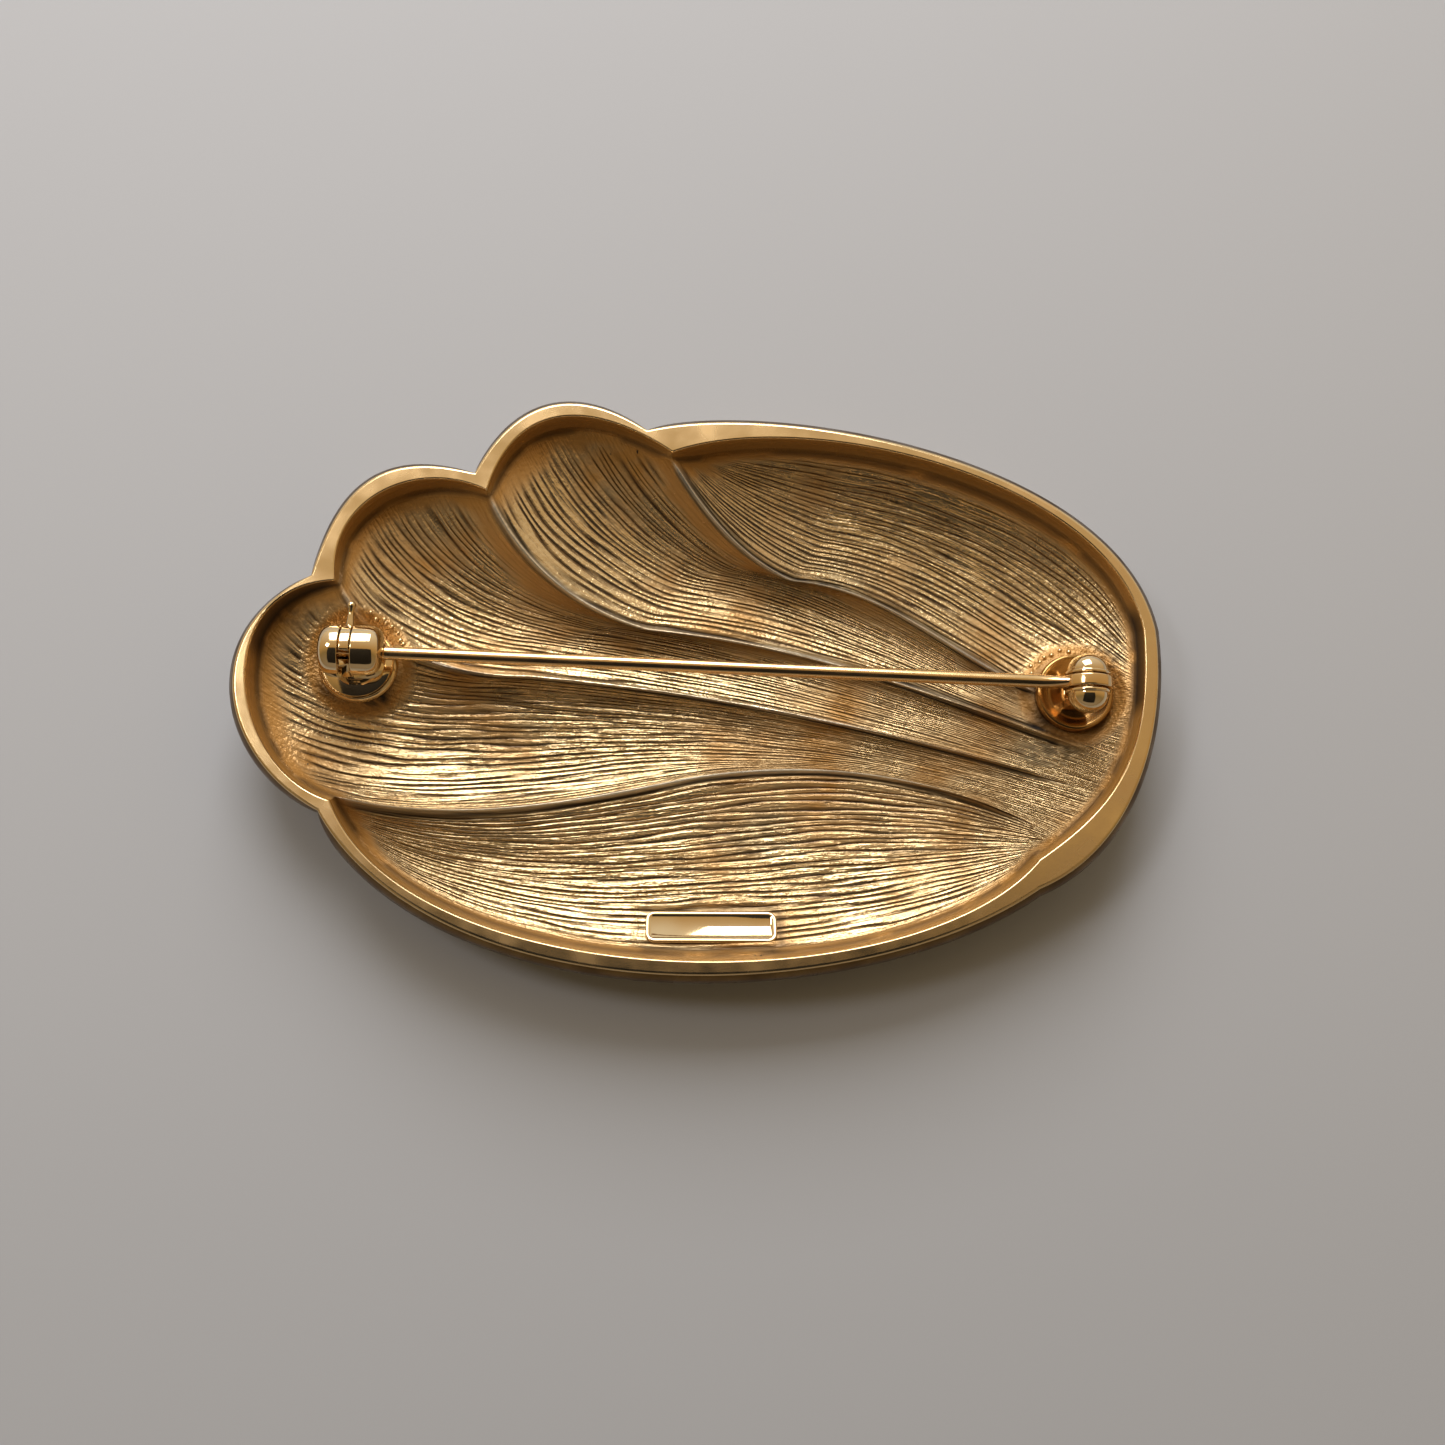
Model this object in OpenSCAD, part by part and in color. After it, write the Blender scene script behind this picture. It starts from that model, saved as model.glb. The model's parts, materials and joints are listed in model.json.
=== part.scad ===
// Fluted shell brooch with a hinged pin stem and a rolling ball catch.
// The brooch lies on its domed front with its hollow back up. +X runs along the pin
// stem from catch to hinge, +Z points out of the back. Millimetres.

/* [Casting] */
// Thickness of the cast metal, measured straight up
metal = 1.2; // [0.9:0.1:1.5]
// Depth of the inner step below the rim along the two long sides
side_step = 1.5; // [1:0.1:2]
// Depth of the inner step below the rim at the scalloped tips
tip_step = 1.9; // [1:0.1:2.4]
// How far the hollow bowls down between its sides
bowl = 2.8; // [1:0.1:3]
// Depth of the trough of each lobe below its ridges
trough = 0.7; // [0.5:0.1:1.3]
// How much of the lobes' crests on the front is worn level
worn = 0.25; // [0.15:0.05:0.35]
// How far the outer wall swells beyond the rim
swell = 0.55; // [0.2:0.05:0.8]

/* [Findings] */
// Distance from the middle of the brooch to the catch's rotor
catch_x = -23.5; // [-24.5:0.1:-22]
// Distance from the middle of the brooch to the hinge pivot
hinge_x = 25.6; // [24:0.1:26]
// Offset of the pin stem from the middle line
stem_y = 0.8; // [0:0.1:2]
// Height of the stem's axis above the rim
stem_rise = 1.2; // [0.8:0.1:1.5]
// Diameter of the stem wire
stem_d = 0.9; // [0.7:0.05:1]
// Depth of the soldering pads below the rim
pad_drop = 2.5; // [2:0.1:2.8]

/* [Catch] */
// Diameter of the catch barrel
barrel_d = 3.5; // [3.2:0.1:3.8]
// Length of the catch barrel over its domed ends
barrel_l = 4.2; // [3.8:0.1:5]
// Width of the slot that the rotor turns in
rotor_slot = 0.8; // [0.7:0.05:0.9]
// How far the thumb lever stands out of the barrel
lever_out = 1.6; // [1:0.1:2]

/* [Hinge] */
// Radius of the two half balls that hold the rivet
ball_r = 1.5; // [1.3:0.1:1.6]
// Width of the gap between the half balls
eye_slot = 1.04; // [1:0.02:1.2]
// Thickness of the flat eye at the end of the stem
eye_t = 0.8; // [0.7:0.05:0.85]
// Radius of the flat eye
eye_r = 1.65; // [1.4:0.05:1.7]
// Diameter of the hinge rivet
rivet_d = 0.8; // [0.6:0.05:0.9]

/* [Tablet] */
// Length of the maker's tablet, which is blank
tablet_l = 8.8; // [7:0.1:10]
// Width of the maker's tablet
tablet_w = 2.2; // [2:0.1:2.6]
// Height of the maker's tablet above the lobe
tablet_rise = 0.45; // [0.3:0.05:0.6]

/* [Hidden] */

gold = [0.80, 0.60, 0.26];
pale_gold = [0.88, 0.72, 0.42];
$fn = 48;
running_fit = 0.03;
eye_fit = 0.05;

// ---- Plan of the casting: five lobes that run from a shared root to scalloped tips ----
lobes = 5;
rows = 34;
columns_per_lobe = 6;
columns = lobes * columns_per_lobe;

// Corners where two lobes meet, on the outer and on the inner edge of the rim
notch_fa = [-24.9, -9.6];
notch_ab = [-26.6, 6.2];
notch_bc = [-16.2, 13.9];
notch_cd = [-4.6, 17.6];
corner_low = [22.6, -12.9];
corner_high = [30.7, 5.0];
web_fa = [-24.2, -8.9];
web_ab = [-25.0, 5.9];
web_bc = [-15.3, 12.7];
web_cd = [-2.8, 16.1];
inner_low = [22.6, -11.0];
inner_high = [29.9, 5.0];

// Each edge is one cubic curve: root, top lobe, the three scallops, bottom crescent
outer_edges = [
    [corner_low, [29.3, -9.9], [31.4, -1.6], corner_high],
    [corner_high, [28.3, 16.9], [4.8, 20.4], notch_cd],
    [notch_cd, [-9.9, 20.8], [-13.8, 19.3], notch_bc],
    [notch_bc, [-22.9, 15.3], [-25.2, 12.3], notch_ab],
    [notch_ab, [-33.9, 2.1], [-31.6, -6.3], notch_fa],
    [notch_fa, [-16.4, -22.8], [11.1, -21.2], corner_low]
];
inner_edges = [
    [inner_low, [27.6, -7.4], [30.4, -4.0], inner_high],
    [inner_high, [27.8, 15.8], [6.4, 20.0], web_cd],
    [web_cd, [-8.9, 19.9], [-13.9, 19.0], web_bc],
    [web_bc, [-20.4, 14.9], [-26.0, 11.4], web_ab],
    [web_ab, [-33.4, 5.0], [-31.0, -7.1], web_fa],
    [web_fa, [-18.6, -21.6], [14.6, -20.9], inner_low]
];
// Ridges between neighbouring lobes, each from the root (two curves, root end first)
ridges = [
    [[23.8, -10.2], [16.1, -5.8], [7.2, -4.8], [-1.4, -6.7], [-9.0, -8.5], [-16.6, -10.4], web_fa],
    [[27.2, -7.2], [14.4, -3.0], [1.1, -0.1], [-12.5, 0.4], [-17.1, 0.1], [-22.6, 1.4], web_ab],
    [[29.0, -4.8], [17.7, -0.4], [8.4, 3.6], [-3.9, 4.2], [-8.7, 5.2], [-13.1, 8.4], web_bc],
    [[30.5, -1.3], [21.3, -0.5], [15.7, 8.2], [6.4, 8.3], [2.4, 9.7], [-0.6, 13.1], web_cd]
];
// Share of each ridge's length that its first curve covers
ridge_share = [0.52, 0.75, 0.70, 0.68];
// Where the ridges leave the root edge, as shares of that edge
root_stops = [0, 0.13, 0.40, 0.56, 0.74, 1];
// Share of the bottom and top edges that closes the tips of the first and last lobes
crescent_tip = 0.07;
fan_tip = 0.09;

function cubic(c, t) =
    pow(1 - t, 3) * c[0] + 3 * pow(1 - t, 2) * t * c[1] + 3 * (1 - t) * t * t * c[2] + pow(t, 3) * c[3];
function part_of(points, first) = [for (i = [first : first + 3]) points[i]];
function ridge_point(k, u) =
    u < ridge_share[k]
        ? cubic(part_of(ridges[k], 0), u / ridge_share[k])
        : cubic(part_of(ridges[k], 3), (u - ridge_share[k]) / (1 - ridge_share[k]));

// Rows crowd together near the root and the tips, where the metal turns most
function row_u(i) = (1 - cos(180 * i / rows)) / 2;
function stop_at(v) =
    let (k = min(floor(v), lobes - 1), f = v - k)
    root_stops[k] * (1 - f) + root_stops[k + 1] * f;

// The closed edge loop, counter-clockwise: root, top lobe, scalloped tips, bottom crescent
function tip_point(edges, v) =
    v > 4 ? cubic(edges[1], 1 - fan_tip * (v - 4))
    : v > 3 ? cubic(edges[2], 4 - v)
    : v > 2 ? cubic(edges[3], 3 - v)
    : v > 1 ? cubic(edges[4], 2 - v)
    : cubic(edges[5], crescent_tip * (1 - v));
function edge_loop(edges) = concat(
    [for (j = [0 : columns - 1]) cubic(edges[0], stop_at(j / columns_per_lobe))],
    [for (i = [0 : rows - 1]) cubic(edges[1], (1 - fan_tip) * row_u(i))],
    [for (j = [columns : -1 : 1]) tip_point(edges, j / columns_per_lobe)],
    [for (i = [rows : -1 : 1]) cubic(edges[5], 1 - (1 - crescent_tip) * row_u(i))]
);
loop_size = 2 * (rows + columns);

// Outward unit normal at each point of a loop
function loop_normals(loop) = [
    for (i = [0 : loop_size - 1])
        let (along = loop[(i + 1) % loop_size] - loop[(i + loop_size - 1) % loop_size])
        [along[1], -along[0]] / norm(along)
];
// How far a place across the tips lies from a notch: 0 on a notch, 1 between two of them
function between_notches(v) =
    v < 1 ? sin(90 * (1 - v))
    : v > lobes - 1 ? sin(90 * (v - lobes + 1))
    : abs(sin(180 * v));
function clear_of_notch(i) =
    let (j = i - columns - rows)
    j < 0 || j > columns ? 1 : pow(between_notches((columns - j) / columns_per_lobe), 0.5);
function offset_loop(loop, distance, at_notch) =
    let (normals = loop_normals(loop))
    [for (i = [0 : loop_size - 1])
        loop[i] + normals[i] * distance * (at_notch + (1 - at_notch) * clear_of_notch(i))];

// Row and column of a grid point, to its place on the loop and back
function root_index(j) = j;
function top_index(i) = columns + i;
function tip_index(j) = columns + rows + (columns - j);
function bottom_index(i) = (loop_size - i) % loop_size;

// The grid inside a loop: each lobe is blended between its two ridges and its two ends
function ridge_line(loop, k) =
    k == 0 ? [for (i = [0 : rows]) loop[bottom_index(i)]]
    : k == lobes ? [for (i = [0 : rows]) loop[top_index(i)]]
    : let (root = loop[root_index(k * columns_per_lobe)], tip = loop[tip_index(k * columns_per_lobe)])
      [for (i = [0 : rows])
          let (u = row_u(i))
          ridge_point(k - 1, u) + (1 - u) * (root - ridge_point(k - 1, 0)) + u * (tip - ridge_point(k - 1, 1))];
function grid_point(lines, loop, i, j) =
    let (
        k = min(floor(j / columns_per_lobe), lobes - 1),
        f = j / columns_per_lobe - k,
        u = row_u(i),
        low = lines[k],
        high = lines[k + 1],
        root = loop[root_index(j)],
        tip = loop[tip_index(j)]
    )
    (1 - f) * low[i] + f * high[i] + (1 - u) * root + u * tip
    - (1 - f) * ((1 - u) * low[0] + u * low[rows]) - f * ((1 - u) * high[0] + u * high[rows]);
function grid(loop) =
    let (lines = [for (k = [0 : lobes]) ridge_line(loop, k)])
    [for (i = [0 : rows]) [for (j = [0 : columns]) grid_point(lines, loop, i, j)]];

// ---- Depth of the hollow below the rim ----
function arch(x, power) = max(0, 1 - pow(abs(2 * x - 1), power));
notch_step = 0.35;
root_step = 1.2;
function step_at(u, v) =
    let (tip = notch_step + (tip_step - notch_step) * pow(between_notches(v), 0.6))
    u * u * tip + (1 - u * u) * (root_step * (1 - u) + side_step * u);
function hollow_depth(u, v) =
    step_at(u, v)
    + bowl * arch(u, 2) * sqrt(arch(v / lobes, 3))
    + trough * arch(u, 4) * pow(abs(sin(180 * v)), 0.8);
function smooth(low, high, x) =
    let (t = max(0, min(1, (x - low) / (high - low))))
    t * t * (3 - 2 * t);

catch_at = [catch_x, stem_y];
hinge_at = [hinge_x, stem_y];
pad_flat = 5.2;
pad_blend = 6.4;

// The worn crests of the domed front lie on the ground, so the deepest trough sets the rim
rim_z = metal - worn + max([
    for (i = [0 : rows]) for (j = [0 : columns]) hollow_depth(row_u(i), j / columns_per_lobe)
]);
pad_z = rim_z - pad_drop;
axis_z = rim_z + stem_rise;

// Height of the hollow's floor, levelled into a pad under each finding
function levelled(z, p, centre) =
    let (w = smooth(pad_flat, pad_blend, norm(p - centre)))
    z * w + pad_z * (1 - w);
function floor_z(p, u, v) =
    levelled(levelled(rim_z - hollow_depth(u, v), p, catch_at), p, hinge_at);
function front_z(p, u, v) =
    max(0, min(rim_z - hollow_depth(u, v), floor_z(p, u, v)) - metal);

// ---- Rings of points between the hollow's floor and the front ----
wall_foot = 0.4;
front_inset = 0.7;
rim_outer = edge_loop(outer_edges);
rim_inner = edge_loop(inner_edges);
foot_loop = offset_loop(rim_inner, -wall_foot, 1);
front_loop = offset_loop(rim_outer, -front_inset, 1);
foot_grid = grid(foot_loop);
front_grid = grid(front_loop);

// Row and column shares of a loop point
function loop_u(n) =
    n < columns ? 0
    : n < columns + rows ? row_u(n - columns)
    : n < 2 * columns + rows ? 1
    : row_u(loop_size - n);
function loop_v(n) =
    (n < columns ? n
    : n < columns + rows ? columns
    : n < 2 * columns + rows ? 2 * columns + rows - n
    : 0) / columns_per_lobe;
function wall_step(n) = step_at(loop_u(n), loop_v(n));
function raised(loop, share, base) = [
    for (n = [0 : loop_size - 1]) concat(loop[n], rim_z - share * (wall_step(n) + base))
];
// Swelling of the outer wall at three heights, as [share of the swell, share of the height]
wall_profile = [[0, 0], [0.7, 0.18], [1, 0.42], [0.75, 0.68], [0, 0.88]];
rings = concat(
    [raised(offset_loop(rim_inner, -0.4 * wall_foot, 1), 0.6, 0)],
    [raised(rim_inner, 0, 0)],
    [for (s = wall_profile) raised(offset_loop(rim_outer, s[0] * swell, 0.1), s[1], metal)]
);

module cast_shell() {
    foot_points = [
        for (i = [0 : rows]) for (j = [0 : columns])
            let (p = foot_grid[i][j])
            concat(p, floor_z(p, row_u(i), j / columns_per_lobe))
    ];
    front_points = [
        for (i = [0 : rows]) for (j = [0 : columns])
            let (p = front_grid[i][j])
            concat(p, front_z(p, row_u(i), j / columns_per_lobe))
    ];
    ring_points = [for (ring = rings) for (p = ring) p];
    ring_start = len(foot_points);
    front_start = ring_start + len(ring_points);
    width = columns + 1;
    // Grid index of each loop point
    edge = [
        for (n = [0 : loop_size - 1])
            n < columns ? n
            : n < columns + rows ? (n - columns) * width + columns
            : n < 2 * columns + rows ? rows * width + (2 * columns + rows - n)
            : (loop_size - n) * width
    ];
    loops = concat(
        [edge],
        [for (r = [0 : len(rings) - 1])
            [for (n = [0 : loop_size - 1]) ring_start + r * loop_size + n]],
        [[for (e = edge) front_start + e]]
    );
    cells = [for (i = [0 : rows - 1]) for (j = [0 : columns - 1]) i * width + j];
    floor_faces = [
        for (c = cells) each [[c, c + width, c + width + 1], [c, c + width + 1, c + 1]]
    ];
    front_faces = [
        for (c = cells) let (b = front_start + c)
            each [[b, b + width + 1, b + width], [b, b + 1, b + width + 1]]
    ];
    wall_faces = [
        for (r = [0 : len(loops) - 2]) for (n = [0 : loop_size - 1])
            let (m = (n + 1) % loop_size, a = loops[r], b = loops[r + 1])
            each [[a[n], b[m], b[n]], [a[n], a[m], b[m]]]
    ];
    color(gold)
        polyhedron(
            points = concat(foot_points, ring_points, front_points),
            faces = concat(floor_faces, wall_faces, front_faces),
            convexity = 6
        );
}

// ---- Maker's tablet: blank, let into the floor of the bottom lobe ----
tablet_at = [1.1, -16.2];
tablet_tilt = 20;
tablet_floor = rim_z - 3.1;
tablet_turn = 1.8;
tablet_sink = 0.35;
tablet_corner = 0.6;

module maker_tablet() {
    half_l = tablet_l / 2 - tablet_corner;
    half_w = tablet_w / 2 - tablet_corner;
    color(pale_gold)
        translate(concat(tablet_at, tablet_floor))
            rotate([-tablet_tilt, 0, tablet_turn])
                translate([0, 0, -tablet_sink])
                    linear_extrude(tablet_rise + tablet_sink)
                        union() {
                            square([2 * half_l, tablet_w], center = true);
                            square([tablet_l, 2 * half_w], center = true);
                            for (x = [-half_l, half_l]) for (y = [-half_w, half_w])
                                translate([x, y]) circle(tablet_corner);
                        }
}

// ---- Catch: a round base, a split barrel and the rotor that turns in its slot ----
base_r = 2.7;
base_t = 0.6;
barrel_r = barrel_d / 2;
dome_l = 1.1;
nest_r = stem_d / 2 + 0.1;
trunnion_r = 1.05;
trunnion_l = 0.4;
seat_l = trunnion_l + 0.05;
slot_half = rotor_slot / 2;
neck_r = 1.5;
web_t = 0.35;
// The barrel's half on the stem's side is the longer one
slot_shift = 0.25;

// Turns a shape about the stem's axis: X is along the stem
module along_stem(x) {
    translate([x, stem_y, axis_z]) rotate([0, 90, 0]) children();
}

module catch_base() {
    edge_t = 0.25;
    color(pale_gold)
        translate(concat(catch_at, pad_z))
            rotate_extrude()
                polygon([
                    [0, 0], [base_r, 0], [base_r, edge_t], [base_r - 0.15, edge_t + 0.2],
                    [base_r - 0.5, base_t], [0, base_t]
                ]);
}

// One half of the barrel: a drum from the slot with a domed outer end
module barrel_half(reach) {
    drum_l = reach - dome_l;
    dome_points = [
        for (a = [0 : 10 : 90]) [barrel_r * cos(a), drum_l + dome_l * sin(a)]
    ];
    rotate_extrude()
        polygon(concat([[0, slot_half], [barrel_r, slot_half]], dome_points));
}

module catch_housing() {
    reach = barrel_l / 2 + 1;
    color(gold)
        difference() {
            union() {
                along_stem(catch_x) barrel_half(barrel_l / 2 + slot_shift);
                along_stem(catch_x) mirror([0, 0, 1]) barrel_half(barrel_l / 2 - slot_shift);
                translate(concat(catch_at, pad_z + base_t))
                    cylinder(r = neck_r, h = axis_z - pad_z - base_t);
            }
            // Slot for the rotor, down to a web that joins the two halves
            translate([catch_x - slot_half, stem_y - reach, pad_z + base_t + web_t])
                cube([rotor_slot, 2 * reach, 2 * reach]);
            // Seats for the rotor's trunnions
            along_stem(catch_x)
                cylinder(r = trunnion_r + running_fit, h = 2 * (slot_half + seat_l), center = true);
            // Nest for the stem, and the side mouth that the stem leaves by
            along_stem(catch_x) cylinder(r = nest_r, h = 2 * reach, center = true);
            translate([catch_x - reach, stem_y - reach, axis_z - nest_r])
                cube([2 * reach, reach, 2 * nest_r]);
        }
}

rotor_r = barrel_r - 0.05;
rotor_t = rotor_slot - 0.14;
lever_d = 0.5;
// The rotor's opening, measured from the lever: the stem's mouth lies 180 degrees from it
opening = [100, 200];

// The wedge that the rotor's opening takes out of it, drawn in the plane across the stem
module rotor_opening() {
    far = 2 * barrel_r;
    polygon(concat(
        [[0, 0]],
        [for (a = [opening[0] : 20 : opening[1]]) far * [cos(a), sin(a)]]
    ));
}

module catch_rotor() {
    total = rotor_t + 2 * trunnion_l;
    lever_tip = barrel_r + lever_out - lever_d / 2;
    color(pale_gold)
        translate([catch_x, stem_y, axis_z])
            // X of the drawing points along +Y, the way of the lever
            rotate([90, 0, 90])
                difference() {
                    union() {
                        cylinder(r = rotor_r, h = rotor_t, center = true);
                        cylinder(r = trunnion_r, h = total, center = true);
                        translate([rotor_r - 0.3, 0, 0])
                            rotate([0, 90, 0]) cylinder(d = lever_d, h = lever_tip - rotor_r + 0.3);
                        translate([lever_tip, 0, 0]) sphere(d = lever_d + 0.1);
                    }
                    cylinder(r = nest_r, h = 2 * total, center = true);
                    linear_extrude(2 * total, center = true) rotor_opening();
                }
}

// ---- Hinge: a raised-edge dish, two half balls with a gap, the rivet and the stem ----
dish_floor = 0.4;
dish_rim = 0.9;
dish_wall = 0.35;
foot_w = 1.6;
rivet_r = rivet_d / 2;
rivet_l = eye_slot + 1.6;
slot_side = eye_slot / 2;

// Turns a shape about the hinge's axis: its own Z runs along +Y
module along_rivet() {
    translate([hinge_x, stem_y, axis_z]) rotate([-90, 0, 0]) children();
}

module hinge_base() {
    inner = base_r - dish_wall;
    color(pale_gold)
        translate(concat(hinge_at, pad_z))
            rotate_extrude()
                polygon([
                    [0, 0], [base_r - 0.1, 0], [base_r, 0.1], [base_r, dish_rim - 0.12],
                    [base_r - 0.12, dish_rim], [inner + 0.1, dish_rim],
                    [inner - 0.3, dish_floor + 0.1], [inner - 0.6, dish_floor], [0, dish_floor]
                ]);
}

module hinge_housing() {
    strap_t = 0.7;
    strap_web = 0.3;
    foot_z = pad_z + dish_floor;
    ball_points = [for (a = [0 : 10 : 90]) [ball_r * cos(a), slot_side + ball_r * sin(a)]];
    color(gold)
        difference() {
            for (side = [0, 1])
                translate([0, 2 * side * stem_y, 0])
                    mirror([0, side, 0])
                        union() {
                            along_rivet()
                                rotate_extrude()
                                    polygon(concat([[0, slot_side]], ball_points));
                            translate([hinge_x - foot_w / 2, stem_y + slot_side, foot_z])
                                cube([foot_w, strap_t, axis_z - foot_z]);
                            // Web that joins the two walls of the folded strap
                            translate([hinge_x - foot_w / 2, stem_y, foot_z])
                                cube([foot_w, slot_side + strap_t, strap_web]);
                        }
            along_rivet() cylinder(r = rivet_r + running_fit, h = rivet_l + 0.1, center = true);
        }
}

module hinge_rivet() {
    color(gold) along_rivet() cylinder(r = rivet_r, h = rivet_l, center = true);
}

stem_end = hinge_x - 2.4;
point_l = 3.8;
point_r = 0.12;
tip_x = catch_x - 1.3;

module pin_stem() {
    stem_r = stem_d / 2;
    color(pale_gold)
        difference() {
            union() {
                along_stem(tip_x + point_l) cylinder(r = stem_r, h = stem_end - tip_x - point_l);
                along_stem(tip_x) cylinder(r1 = point_r, r2 = stem_r, h = point_l);
                translate([stem_end - 0.6, stem_y - eye_t / 2, axis_z - stem_r])
                    cube([hinge_x - stem_end + 0.6, eye_t, stem_d]);
                along_rivet() cylinder(r = eye_r, h = eye_t, center = true);
            }
            along_rivet() cylinder(r = rivet_r + eye_fit, h = 2 * eye_t, center = true);
        }
}

cast_shell();
maker_tablet();
catch_base();
catch_housing();
catch_rotor();
hinge_base();
hinge_housing();
hinge_rivet();
pin_stem();
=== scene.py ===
# %% [markdown]
# # A fluted shell brooch, seen from its hollow back
# The real piece is a gold-plated costume brooch: one thin casting in the form of a
# shell with five lobes, and the findings soldered into its hollow back, which are a
# ball catch, a hinge and a pin stem of spring wire. This notebook builds its looks on
# the imported CAD model. The first step loads that model, because every size and place
# comes from it. The box that it fills is kept, and the casting's rings and front are
# kept inside it.

# %% Load the imported frame
import json
import math

import bmesh
import bpy
import numpy as np
from mathutils import Matrix, Vector
from mathutils.kdtree import KDTree


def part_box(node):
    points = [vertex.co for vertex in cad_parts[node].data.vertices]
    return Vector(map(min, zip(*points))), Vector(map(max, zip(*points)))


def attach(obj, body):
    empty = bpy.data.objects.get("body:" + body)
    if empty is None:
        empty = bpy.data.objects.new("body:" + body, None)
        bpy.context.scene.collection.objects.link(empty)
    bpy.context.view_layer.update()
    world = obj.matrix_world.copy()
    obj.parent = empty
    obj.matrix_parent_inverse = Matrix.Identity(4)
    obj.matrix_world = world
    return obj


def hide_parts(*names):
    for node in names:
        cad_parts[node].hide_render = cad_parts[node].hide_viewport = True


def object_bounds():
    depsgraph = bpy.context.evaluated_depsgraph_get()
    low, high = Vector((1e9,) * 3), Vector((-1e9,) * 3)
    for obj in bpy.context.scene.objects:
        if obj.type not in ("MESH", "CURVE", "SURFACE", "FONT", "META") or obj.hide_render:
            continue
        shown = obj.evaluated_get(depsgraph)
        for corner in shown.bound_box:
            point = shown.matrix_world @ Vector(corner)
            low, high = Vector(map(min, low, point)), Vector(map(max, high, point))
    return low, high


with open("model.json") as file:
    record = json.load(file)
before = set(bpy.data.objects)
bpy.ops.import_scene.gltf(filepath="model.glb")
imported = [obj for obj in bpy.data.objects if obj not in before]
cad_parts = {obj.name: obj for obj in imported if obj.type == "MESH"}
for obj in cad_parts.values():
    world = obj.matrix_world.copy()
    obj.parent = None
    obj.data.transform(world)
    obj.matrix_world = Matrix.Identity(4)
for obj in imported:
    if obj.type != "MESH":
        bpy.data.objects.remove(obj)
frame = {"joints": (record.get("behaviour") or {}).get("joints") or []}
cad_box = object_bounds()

MM = 0.001
low, high = cad_box
print("CAD box in mm:", [round(v / MM, 2) for v in (*low, *high)])

# %% [markdown]
# The findings sit on axes that the CAD model states: the catch turns about one joint,
# the stem lifts about another. Reading the joints keeps the two models in step, and
# the rim's height comes from the casting's own box. All lengths below are in
# millimetres until a mesh is written.

# %% Read the axes and the rim height from the frame
joints = {j["name"]: j for j in frame["joints"]}
catch_at = np.array(joints["catch_turn"]["pos_m"]) / MM
hinge_at = np.array(joints["stem_lift"]["pos_m"]) / MM
rim_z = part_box("cast_shell")[1].z / MM
pad_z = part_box("catch_base")[0].z / MM
print("catch", catch_at.round(2), "hinge", hinge_at.round(2), "rim", round(rim_z, 2), "pad", round(pad_z, 2))

# %% [markdown]
# ## The plan of the casting
# Seen from above the shell is a fan: five lobes run from a shared root at the lower
# right to scalloped tips at the left. A fan like this could be modelled by hand from
# a box, but its ridges would wander. Here each edge and each ridge is a cubic curve
# with two handles, which is how a pattern maker draws it, and everything between two
# ridges is blended. The curves repeat the ones that the CAD casting was drawn with.

# %% Draw the edges and the ridges
LOBES = 5
CORNER_LOW, CORNER_HIGH = (22.6, -12.9), (30.7, 5.0)
NOTCH_FA, NOTCH_AB, NOTCH_BC, NOTCH_CD = (-24.9, -9.6), (-26.6, 6.2), (-16.2, 13.9), (-4.6, 17.6)
INNER_LOW, INNER_HIGH = (22.6, -11.0), (29.9, 5.0)
WEB_FA, WEB_AB, WEB_BC, WEB_CD = (-24.2, -8.9), (-25.0, 5.9), (-15.3, 12.7), (-2.8, 16.1)
# Root, top lobe, three scallops, bottom crescent: counter-clockwise
OUTER_EDGES = [
    [CORNER_LOW, (29.3, -9.9), (31.4, -1.6), CORNER_HIGH],
    [CORNER_HIGH, (28.3, 16.9), (4.8, 20.4), NOTCH_CD],
    [NOTCH_CD, (-9.9, 20.8), (-13.8, 19.3), NOTCH_BC],
    [NOTCH_BC, (-22.9, 15.3), (-25.2, 12.3), NOTCH_AB],
    [NOTCH_AB, (-33.9, 2.1), (-31.6, -6.3), NOTCH_FA],
    [NOTCH_FA, (-16.4, -22.8), (11.1, -21.2), CORNER_LOW],
]
INNER_EDGES = [
    [INNER_LOW, (27.6, -7.4), (30.4, -4.0), INNER_HIGH],
    [INNER_HIGH, (27.8, 15.8), (6.4, 20.0), WEB_CD],
    [WEB_CD, (-8.9, 19.9), (-13.9, 19.0), WEB_BC],
    [WEB_BC, (-20.4, 14.9), (-26.0, 11.4), WEB_AB],
    [WEB_AB, (-33.4, 5.0), (-31.0, -7.1), WEB_FA],
    [WEB_FA, (-18.6, -21.6), (14.6, -20.9), INNER_LOW],
]
# Two cubic curves each, from the root to the notch where two lobes meet
RIDGES = [
    [(23.8, -10.2), (16.1, -5.8), (7.2, -4.8), (-1.4, -6.7), (-9.0, -8.5), (-16.6, -10.4), WEB_FA],
    [(27.2, -7.2), (14.4, -3.0), (1.1, -0.1), (-12.5, 0.4), (-17.1, 0.1), (-22.6, 1.4), WEB_AB],
    [(29.0, -4.8), (17.7, -0.4), (8.4, 3.6), (-3.9, 4.2), (-8.7, 5.2), (-13.1, 8.4), WEB_BC],
    [(30.5, -1.3), (21.3, -0.5), (15.7, 8.2), (6.4, 8.3), (2.4, 9.7), (-0.6, 13.1), WEB_CD],
]
RIDGE_SHARE = [0.52, 0.75, 0.70, 0.68]
ROOT_STOPS = [0, 0.13, 0.40, 0.56, 0.74, 1]
CRESCENT_TIP, FAN_TIP = 0.07, 0.09


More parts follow.
